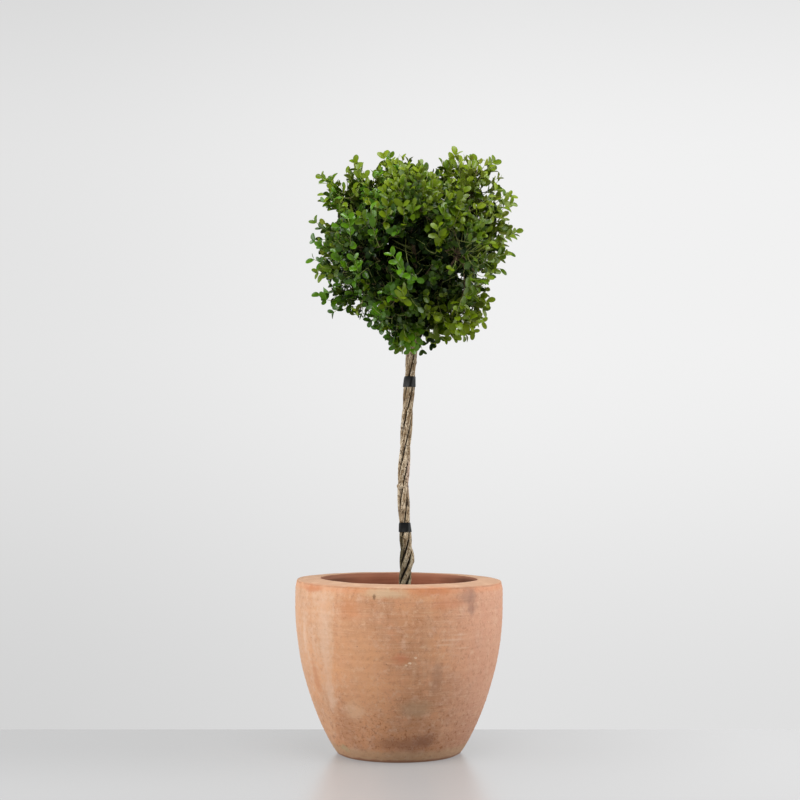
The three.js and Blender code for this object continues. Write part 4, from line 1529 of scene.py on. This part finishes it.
# %% A shoot and its leaves
PAIR_SPACING = 0.0170
PAIR_SPACING_SPREAD = (0.85, 1.2)
PAIR_OPENINGS = [math.radians(a) for a in (28, 40, 48, 53, 56, 59, 62)]
FLAT_OPENINGS = [math.radians(a) for a in (37, 48, 54, 57, 59, 61, 62)]
OPENING_SPREAD = 0.2
PAIR_SIZES = (0.76, 0.97, 1.06, 1.08, 1.03, 0.97, 0.9)
FLAT_TURN = 0.7  # from pair to pair of a flat spray
FLAT_FRONT = 1.6  # how strongly the leaves of a flat spray face the front
FLAT_UP = 0.3
FLAT_SPREAD = 0.6
SIZE_SPREAD = (0.85, 1.1)
LOST_LEAVES = 0.05
BARE_FOOT = 0.12  # share of a shoot that has no leaves
TIP_GAP = 0.001  # between a shoot's end and its last pair
SHOOT_RADIUS = 0.0009
SHOOT_SIDES = 4
SHOOT_POINTS = 5
SHOOT_UP = 0.95  # how much a shoot bends up
SHOOT_OUT = 0.2


def along_path(path, lengths, spot):
    """The point of a path at a length, and the path's direction there."""
    row = int(np.clip(np.searchsorted(lengths, spot), 1, len(path) - 1))
    share = (spot - lengths[row - 1]) / (lengths[row] - lengths[row - 1])
    step = path[row] - path[row - 1]
    return path[row - 1] + step * share, unit(step)


def grow_spray(path, tint, chance, spacing=PAIR_SPACING, sizes=PAIR_SIZES, flat=False):
    radii = np.linspace(SHOOT_RADIUS, SHOOT_RADIUS * 0.5, len(path))
    shoots.add(*tube(path, radii, SHOOT_SIDES))
    lengths = lengths_along(path)
    grown = LEAF_TINTS[tint][-1]
    start = unit(path[1] - path[0])
    if flat:
        side = np.cross(start, (0.0, -1.0, 0.0))
        pair_turn = FLAT_TURN
        openings = FLAT_OPENINGS
    else:
        side = unit(np.cross(start, (0.3, 0.2, 1.0)))
        side = turned(side, start, chance.uniform(0, math.pi))
        pair_turn = math.pi / 2
        openings = PAIR_OPENINGS
    spot = lengths[-1] - TIP_GAP
    for pair, (opening, size) in enumerate(zip(openings, sizes)):
        if spot < BARE_FOOT * lengths[-1]:
            break
        knot, ahead = along_path(path, lengths, spot)
        across = turned(square_to(ahead, side), ahead, pair * pair_turn)
        pair_tint = YOUNGER.get(tint, tint) if pair == 0 and not flat else tint
        for way in (1, -1):
            angle = opening + chance.gauss(0, OPENING_SPREAD)
            heading = ahead * math.cos(angle) + across * way * math.sin(angle)
            if chance.random() > LOST_LEAVES:
                sideways = chance.gauss(0, FLAT_SPREAD)
                upwards = chance.gauss(FLAT_UP, FLAT_SPREAD)
                facing = np.array((sideways, -FLAT_FRONT, upwards)) if flat else ahead
                leaf_size = size * grown * chance.uniform(*SIZE_SPREAD)
                add_leaf(knot, heading, facing, leaf_size, pair_tint, chance, flat)
        spot -= spacing * grown * chance.uniform(*PAIR_SPACING_SPREAD)


def grow_shoot(root, heading, length, chance):
    """A shoot that bends up and out, with the tint of its place."""
    later = unit(heading + SHOOT_UP * UP + SHOOT_OUT * unit(root - CROWN_CENTRE))
    tip = root + (heading + later) * length / 2
    path = bent(root, root + heading * length / 2, tip, SHOOT_POINTS)
    if not left_open(path[-1], chance):
        grow_spray(path, spray_tint(path[-1], chance), chance)


print("sprays: pairs", PAIR_SPACING * 1000, "mm apart")

# %% [markdown]
# ## Growing the lobes
# Twigs spread from a lobe's middle in directions set by the golden angle, which never lines two of
# them up. Shoots sit along a twig in pairs, each pair a quarter turn on, with one more at the tip.

# %% Twigs
TWIG_CAP = math.radians(128)
TWIG_RADIUS = 0.0016
TWIG_SIDES = 5
TWIG_POINTS = 9
TWIG_STRAIGHT = 0.4  # share of its length before it bends
TWIG_SWAY = 0.7  # how far it may turn from the golden angle
TWIG_WANDER = 0.0013
TWIG_BARE = 0.2  # share of a twig before its first shoots
GOLDEN_ANGLE = math.pi * (3 - math.sqrt(5))
SHOOT_LENGTHS = (0.030, 0.062)
SHORTEST_SHOOT = 0.012
SHOOT_OPENING = math.radians(48)
SHOOT_OPENING_SPREAD = 0.15
SHOOT_TURN_SPREAD = 0.3
NODE_SPACING = 0.0205
twig_knots = []  # places where more shoots can leave


def twig_direction(lobe, index, count, chance):
    spread = 1 - index / (count - 1) * (1 - math.cos(TWIG_CAP))
    around = index * GOLDEN_ANGLE + chance.random() * TWIG_SWAY
    lean = math.sqrt(1 - spread * spread)
    across = unit(np.cross(UP, lobe.direction))
    up = np.cross(lobe.direction, across)
    return lobe.direction * spread + across * lean * math.cos(around) + up * lean * math.sin(around)


def random_vector(chance, spread=1):
    return np.array([chance.gauss(0, spread) for _ in range(3)])


def grow_twig(start, early, tip, chance):
    length = np.linalg.norm(tip - start)
    path = bent(start, start + early * length * TWIG_STRAIGHT, tip, TWIG_POINTS)
    wander = np.array([random_vector(chance, TWIG_WANDER) for _ in range(TWIG_POINTS)])
    path[1:] += wander[1:]
    radii = np.linspace(TWIG_RADIUS, TWIG_RADIUS * 0.5, TWIG_POINTS)
    twigs.add(*tube(path, radii, TWIG_SIDES))
    lengths = lengths_along(path)
    side = unit(np.cross(path[-1] - path[0], (0.2, 0.4, 1.0)))
    spot = lengths[-1] * TWIG_BARE
    quarter = 0
    while spot < lengths[-1]:
        knot, ahead = along_path(path, lengths, spot)
        twig_knots.append(knot)
        turn = quarter * math.pi / 2 + chance.gauss(0, SHOOT_TURN_SPREAD)
        across = turned(square_to(ahead, side), ahead, turn)
        for way in (1, -1):
            opening = SHOOT_OPENING + chance.gauss(0, SHOOT_OPENING_SPREAD)
            heading = ahead * math.cos(opening) + across * way * math.sin(opening)
            room = room_ahead(knot, heading, chance.uniform(*SHOOT_LENGTHS))
            if room > SHORTEST_SHOOT:
                grow_shoot(knot, heading, room, chance)
        spot += NODE_SPACING * chance.uniform(*PAIR_SPACING_SPREAD)
        quarter += 1
    twig_knots.append(path[-1])
    ahead = unit(path[-1] - path[-2])
    room = max(room_ahead(path[-1], ahead, SHOOT_LENGTHS[0]), SHORTEST_SHOOT)
    grow_shoot(path[-1], ahead, room, chance)


print("twigs: shoots", NODE_SPACING * 1000, "mm apart")

# %% [markdown]
# Every lobe grows by the same rule: its limb runs on to the lobe's middle and forks there into
# twigs. A twig ends where the crown does, or where the next lobe begins, and it is cut back where
# it points into an opening.

# %% Grow all lobes
TWIGS = 14
TUFT_TWIGS = 6
TWIG_FORKS = 3  # points of the limb's end from which twigs leave
LIMB_END_SIDES = 7
LIMB_END_POINTS = 8
TWIG_LENGTHS = (0.86, 1)  # of the room there is
TWIG_CUT_BACK = 0.6
CELL_OVERLAP = 0.016  # a twig may cross this far into the next lobe


def grow_lobe(lobe, chance):
    if lobe.name == TUFT:
        start = on_stem(lobe.stem, lobe.leaves_stem)
        early = unit(lobe.seed - start)
    else:
        path = bough_paths[lobe.name][0] if lobe.leaves_stem else stem_paths[lobe.stem][0]
        start = path[-1]
        early = unit(path[-1] - path[-2])
    reach = np.linalg.norm(lobe.seed - start)
    middle = bent(start, start + early * reach / 2, lobe.seed, LIMB_END_POINTS)
    radii = np.linspace(BOUGH_RADIUS_TIP, TWIG_RADIUS, LIMB_END_POINTS)
    twigs.add(*tube(middle, radii, LIMB_END_SIDES))
    ahead = unit(middle[-1] - middle[-2])
    count = TUFT_TWIGS if lobe.name == TUFT else TWIGS
    for index in range(count):
        direction = twig_direction(lobe, index, count, chance)
        room = room_ahead(lobe.seed, direction, lobe.radius) - SHORTEST_SHOOT
        room = min(room, room_along(lobe, direction, -CELL_OVERLAP))
        room *= chance.uniform(*TWIG_LENGTHS)
        if left_open(lobe.seed + direction * room, chance):
            room *= TWIG_CUT_BACK
        if room > SHORTEST_SHOOT:
            fork = middle[-1 - index % TWIG_FORKS]
            grow_twig(fork, unit(ahead + direction), lobe.seed + direction * room, chance)


chance = random.Random(7)
for lobe in LOBES:
    grow_lobe(lobe, chance)
print("lobes:", count_leaves(), "leaves on", len(twig_knots), "knots")

# %% [markdown]
# Old wood inside the crown is not bare. Short twigs with small dark leaves stand on the leaders and
# boughs, which fills the middle and shuts out the light from behind. Where a hollow lets light in,
# the twigs at its back sprout as well.

# %% Inner twigs
INNER_FROM = 0.850  # height where they begin
INNER_SPACING = 0.0040
INNER_SPACING_SPREAD = (0.8, 1.3)
INNER_LENGTHS = (0.028, 0.066)
INNER_SHADED = 0.7  # share of them with the darkest leaves
INNER_FORWARD = 0.5  # how much they lean along the limb
SPROUT_LENGTHS = (0.020, 0.044)
SPROUT_SHADED = 0.6
SPROUT_RISE = 0.15


def grow_sprout(knot, heading, lengths, shaded, chance):
    tint = "shaded" if chance.random() < shaded else "deep"
    length = room_ahead(knot, heading, chance.uniform(*lengths))
    if length > SHORTEST_SHOOT:
        tip = knot + heading * length + UP * length * SPROUT_RISE
        path = bent(knot, knot + heading * length / 2, tip, SHOOT_POINTS)
        grow_spray(path, tint, chance)


def grow_inner(path, chance):
    lengths = lengths_along(path)
    spot = chance.uniform(0, INNER_SPACING)
    while spot < lengths[-1]:
        knot, ahead = along_path(path, lengths, spot)
        spot += INNER_SPACING * chance.uniform(*INNER_SPACING_SPREAD)
        if knot[2] < INNER_FROM:
            continue
        heading = unit(square_to(ahead, random_vector(chance)) + INNER_FORWARD * ahead)
        grow_sprout(knot, heading, INNER_LENGTHS, INNER_SHADED, chance)


for path, _ in [*stem_paths, *bough_paths.values()]:
    grow_inner(path, chance)
for knot in twig_knots:
    if behind_hollow(knot):
        heading = unit(random_vector(chance))
        grow_sprout(knot, heading, SPROUT_LENGTHS, SPROUT_SHADED, chance)
print("inner twigs:", count_leaves(), "leaves now")

# %% [markdown]
# Since the last clipping some sprays have outgrown the rest. They break up the round outline all
# over. Some are spread by the golden angle over the front and the back, and run a little beyond the
# dense crown. A spray starts from the twig knot that is nearest to a point behind its tip.

# %% Sprays that have outgrown the rest
SPRAY_BACK = 0.062  # from a spray's tip to where it looks for a knot
SPRAY_SAG = 0.012  # it hangs a little at first and then turns up
SPRAY_WANDER = 0.006
SPRAY_POINTS = 8
SPRAY_SPACING = 0.0165
SPRAY_SIZES = (0.85, 1.0, 1.05, 1.05, 1.0, 0.95, 0.9)
SPRAY_BEYOND = (0.004, 0.020)
FREE_SPRAYS = 110
EDGE_SEARCH = (0.04, 0.28)  # from the crown's middle
OUTLINE_BAND = 0.35  # nearer to the front's outline than this, no spray is left to chance


def nearest_knot(place):
    knots = np.array(twig_knots)
    return knots[np.argmin(np.linalg.norm(knots - place, axis=1))]


def grow_long_spray(tip, tint, chance, bend=None, flat=False):
    if bend is None:
        knot = nearest_knot(tip - unit(tip - CROWN_CENTRE) * SPRAY_BACK)
        bend = (knot + tip) / 2 + random_vector(chance, SPRAY_WANDER) - UP * SPRAY_SAG
    else:
        knot = nearest_knot(bend)
    path = bent(knot, bend, tip, SPRAY_POINTS)
    grow_spray(path, tint, chance, SPRAY_SPACING, SPRAY_SIZES, flat)


def crown_edge(heading):
    """How far the dense crown reaches from its middle in one direction."""
    steps = np.arange(*EDGE_SEARCH, ROOM_STEP)
    inside = in_crown(CROWN_CENTRE + heading * steps[:, None])
    return steps[np.nonzero(inside)[0][-1]]


for index in range(FREE_SPRAYS):
    rise = 1 - 2 * (index + 0.5) / FREE_SPRAYS
    level = math.sqrt(1 - rise * rise)
    turn = index * GOLDEN_ANGLE
    heading = np.array((level * math.cos(turn), level * math.sin(turn), rise))
    tip = CROWN_CENTRE + heading * (crown_edge(heading) + chance.uniform(*SPRAY_BEYOND))
    if abs(heading[1]) > OUTLINE_BAND and not left_open(tip, chance):
        grow_long_spray(tip, spray_tint(tip, chance), chance)
print("sprays:", count_leaves(), "leaves now")

# %% [markdown]
# The sprays that draw the outline as it is seen from the front are placed one by one, by how far
# across and how high their tips lie. A few more stand in front: one crosses the dark hollow and
# catches the light, some bright ones hide the top of the plait, and dark ones arch out beside it.
# The last ones are shaded and close gaps far inside the crown.

# %% Sprays of the outline
OUTLINE_DEPTH = 0.02  # about how far a tip lies before or behind the plane of the stem
LOW_YOUNG = 0.6  # share of the low sprays that are young
OUTLINE_SPRAYS = [
    # across, height
    (-0.150, 1.146), (-0.146, 1.112), (-0.088, 1.172), (-0.074, 1.160), (-0.030, 1.184),
    (-0.014, 1.180), (0.034, 1.166), (0.050, 1.170), (0.098, 1.176), (0.114, 1.196),
    (0.150, 1.184), (0.186, 1.180), (0.192, 1.130), (0.212, 1.116), (0.216, 1.094),
    (0.212, 1.058), (0.232, 1.036), (0.218, 0.998), (0.186, 0.962), (0.088, 0.824),
    (-0.004, 0.812), (-0.022, 0.830), (-0.055, 0.860), (-0.131, 0.878), (-0.112, 0.884),
    (-0.160, 0.914), (-0.162, 0.955), (-0.172, 0.986), (-0.168, 1.018), (-0.166, 1.058),
    (-0.140, 1.092), (-0.146, 0.902), (-0.042, 0.846), (0.100, 0.836), (0.222, 1.110),
    (0.222, 1.092), (0.200, 0.978), (0.204, 0.966), (0.196, 1.010), (-0.040, 1.168),
]
LOW_SPRAYS = [
    # across, height, of the sprays low on the right that the light from that side picks out
    (0.176, 0.900), (0.168, 0.884), (0.166, 0.858), (0.148, 0.838), (0.130, 0.830), (0.108, 0.828),
    (0.120, 0.842), (0.140, 0.850), (0.154, 0.868), (0.150, 0.892),
]
PLACED_SPRAYS = [
    # tip, bend, tint
    ((-0.012, -0.178, 0.974), (0.014, -0.168, 0.940), "vivid"),
    ((0.022, -0.172, 0.940), (0.050, -0.150, 0.925), "cool"),
    ((-0.054, -0.165, 1.062), (-0.050, -0.150, 1.020), "vivid"),
    ((-0.022, -0.165, 1.070), (-0.026, -0.150, 1.030), "fresh"),
    ((0.008, -0.165, 1.070), (0.012, -0.150, 1.020), "fresh"),
    ((0.088, -0.165, 1.066), (0.080, -0.150, 1.030), "mid"),
    ((0.074, -0.168, 1.026), (0.082, -0.150, 0.998), "fresh"),
    ((0.124, -0.150, 1.100), (0.118, -0.140, 1.060), "fresh"),
    ((-0.098, -0.140, 1.050), (-0.090, -0.130, 1.010), "vivid"),
    ((-0.120, -0.120, 0.984), (-0.105, -0.120, 0.950), "vivid"),
    ((-0.085, -0.160, 0.968), (-0.075, -0.140, 0.930), "vivid"),
    ((0.006, -0.165, 0.908), (0.020, -0.145, 0.880), "fresh"),
    ((-0.052, -0.140, 0.880), (-0.036, -0.120, 0.860), "cool"),
    ((0.014, -0.064, 0.816), (0.030, -0.040, 0.856), "vivid"),
    ((0.034, -0.064, 0.812), (0.030, -0.040, 0.856), "vivid"),
    ((0.022, -0.068, 0.800), (0.026, -0.050, 0.840), "vivid"),
    ((0.004, -0.056, 0.804), (0.018, -0.040, 0.850), "mid"),
    ((-0.010, -0.050, 0.812), (0.004, -0.036, 0.850), "cool"),
    ((0.064, -0.036, 0.812), (0.040, -0.030, 0.850), "shaded"),
    ((0.046, -0.040, 0.800), (0.034, -0.030, 0.846), "deep"),
    ((0.056, -0.090, 1.050), (0.050, -0.070, 1.015), "deep"),
    ((0.044, -0.086, 1.044), (0.050, -0.070, 1.010), "shaded"),
    ((0.150, -0.100, 0.852), (0.132, -0.090, 0.850), "fresh"),
    ((0.116, -0.110, 0.836), (0.104, -0.100, 0.850), "fresh"),
    ((0.144, -0.110, 0.908), (0.126, -0.105, 0.895), "mid"),
    ((0.042, 0.010, 1.056), (0.032, 0.020, 1.028), "shaded"),
    ((0.030, 0.020, 1.048), (0.036, 0.030, 1.020), "shaded"),
    ((-0.040, 0.010, 1.060), (-0.044, 0.020, 1.030), "shaded"),
    ((-0.030, 0.030, 1.032), (-0.036, 0.030, 1.000), "shaded"),
    ((-0.018, 0.034, 1.030), (-0.012, 0.034, 1.000), "shaded"),
]

for across, height in OUTLINE_SPRAYS:
    tip = np.array((across, chance.gauss(0, OUTLINE_DEPTH), height))
    grow_long_spray(tip, spray_tint(tip, chance), chance, flat=True)
for across, height in LOW_SPRAYS:
    tip = np.array((across, chance.gauss(-OUTLINE_DEPTH, OUTLINE_DEPTH), height))
    tint = "young" if chance.random() < LOW_YOUNG else "fresh"
    grow_long_spray(tip, tint, chance, flat=True)
for tip, bend, tint in PLACED_SPRAYS:
    grow_long_spray(np.array(tip), tint, chance, np.array(bend), flat=True)
print("crown:", count_leaves(), "leaves so far")

# %% [markdown]
# Between the sprays of the outline the wall shows in small notches. The leaves that cover them are
# cut away again, and a last few sprays run out past the cut edge.

# %% Notches in the outline
NOTCHES = [
    # across, height, radius
    (-0.052, 1.146, 0.008), (-0.152, 1.128, 0.007), (-0.046, 1.174, 0.007), (-0.168, 1.004, 0.007),
    (0.174, 0.930, 0.007), (-0.112, 0.918, 0.007), (0.160, 0.916, 0.007), (-0.044, 0.840, 0.007),
    (0.118, 1.178, 0.006), (0.058, 1.176, 0.006), (0.182, 1.150, 0.006), (-0.042, 1.134, 0.006),
    (-0.118, 1.126, 0.006), (0.234, 1.050, 0.006), (0.162, 0.962, 0.006), (-0.124, 0.876, 0.006),
    (0.094, 1.182, 0.005), (0.014, 1.178, 0.005), (-0.140, 1.122, 0.005), (-0.160, 1.104, 0.005),
    (0.220, 1.006, 0.005), (0.206, 0.968, 0.005), (-0.160, 0.948, 0.005), (0.176, 0.946, 0.005),
    (-0.152, 0.904, 0.005), (-0.034, 0.832, 0.005),
]
LAST_SPRAYS = [
    # across, height
    (-0.018, 1.188), (0.156, 1.182), (0.190, 1.177), (0.228, 1.034), (0.082, 0.828),
    (-0.154, 1.148), (-0.134, 1.143), (-0.132, 0.906), (0.134, 0.834),
]


def in_notch(root, arms):
    seen = seen_from_front(root + arms[0] / 2)
    return any(seen_within(seen, *notch) for notch in NOTCHES)


for tint, grown in leaves.items():
    leaves[tint] = [leaf for leaf in grown if not in_notch(leaf[1], leaf[2])]
for across, height in LAST_SPRAYS:
    tip = np.array((across, 0.0, height))
    grow_long_spray(tip, spray_tint(tip, chance), chance, flat=True)
print("crown:", count_leaves(), "leaves in all")

# %% [markdown]
# Twigs are grey-brown wood, shoots a pale green skin. All twigs become one mesh, all shoots
# another, and the leaves one mesh for each tint, or two where there are too many for one.

# %% Join the crown
LEAVES_PER_PIECE = 4500  # keeps a mesh well under 200,000 triangles
FOLIAGE_NODES = ["foliage_" + lobe.name for lobe in LOBES]

twig_finish, tree, shader, place = finish("twig wood", 0.8)
mottled = noise(tree, place, 130.0, 5.0, 0.65)
wood = layered(tree, paint("54422e"), [(mottled, 0.4, 0.62, 1.0, paint("877259"))])
fill(tree, shader, {"Base Color": wood, "Normal": bump(tree, mottled, 0.5, 0.0008)})

shoot_finish, tree, shader, place = finish("green shoot", 0.55)
relief = bump(tree, noise(tree, place, 500.0), 0.3, 0.0005)
fill(tree, shader, {"Base Color": paint("7d8742"), "Normal": relief})

hand_over(twigs.piece("crown_twigs", twig_finish), "bark", *FOLIAGE_NODES)
hand_over(shoots.piece("crown_shoots", shoot_finish), "leaf", *FOLIAGE_NODES)


def leaf_piece(name, grown, finishes):
    heap = Heap()
    for form, (points, triangles) in enumerate(leaf_forms):
        copies = [(root, arms) for leaf, root, arms in grown if leaf == form]
        skins = np.repeat((0, 1), len(triangles) // 2)
        heap.add(*stamped(points, triangles, copies), np.tile(skins, len(copies)))
    return heap.piece(name, *finishes)


for tint, finishes in tint_finishes.items():
    parts = math.ceil(len(leaves[tint]) / LEAVES_PER_PIECE)
    for part in range(parts):
        name = f"leaves_{tint}_{part + 1}" if parts > 1 else f"leaves_{tint}"
        piece = leaf_piece(name, leaves[tint][part::parts], finishes)
        hand_over(piece, "leaf", *FOLIAGE_NODES)
        print(name + ":", len(piece.data.polygons), "triangles")
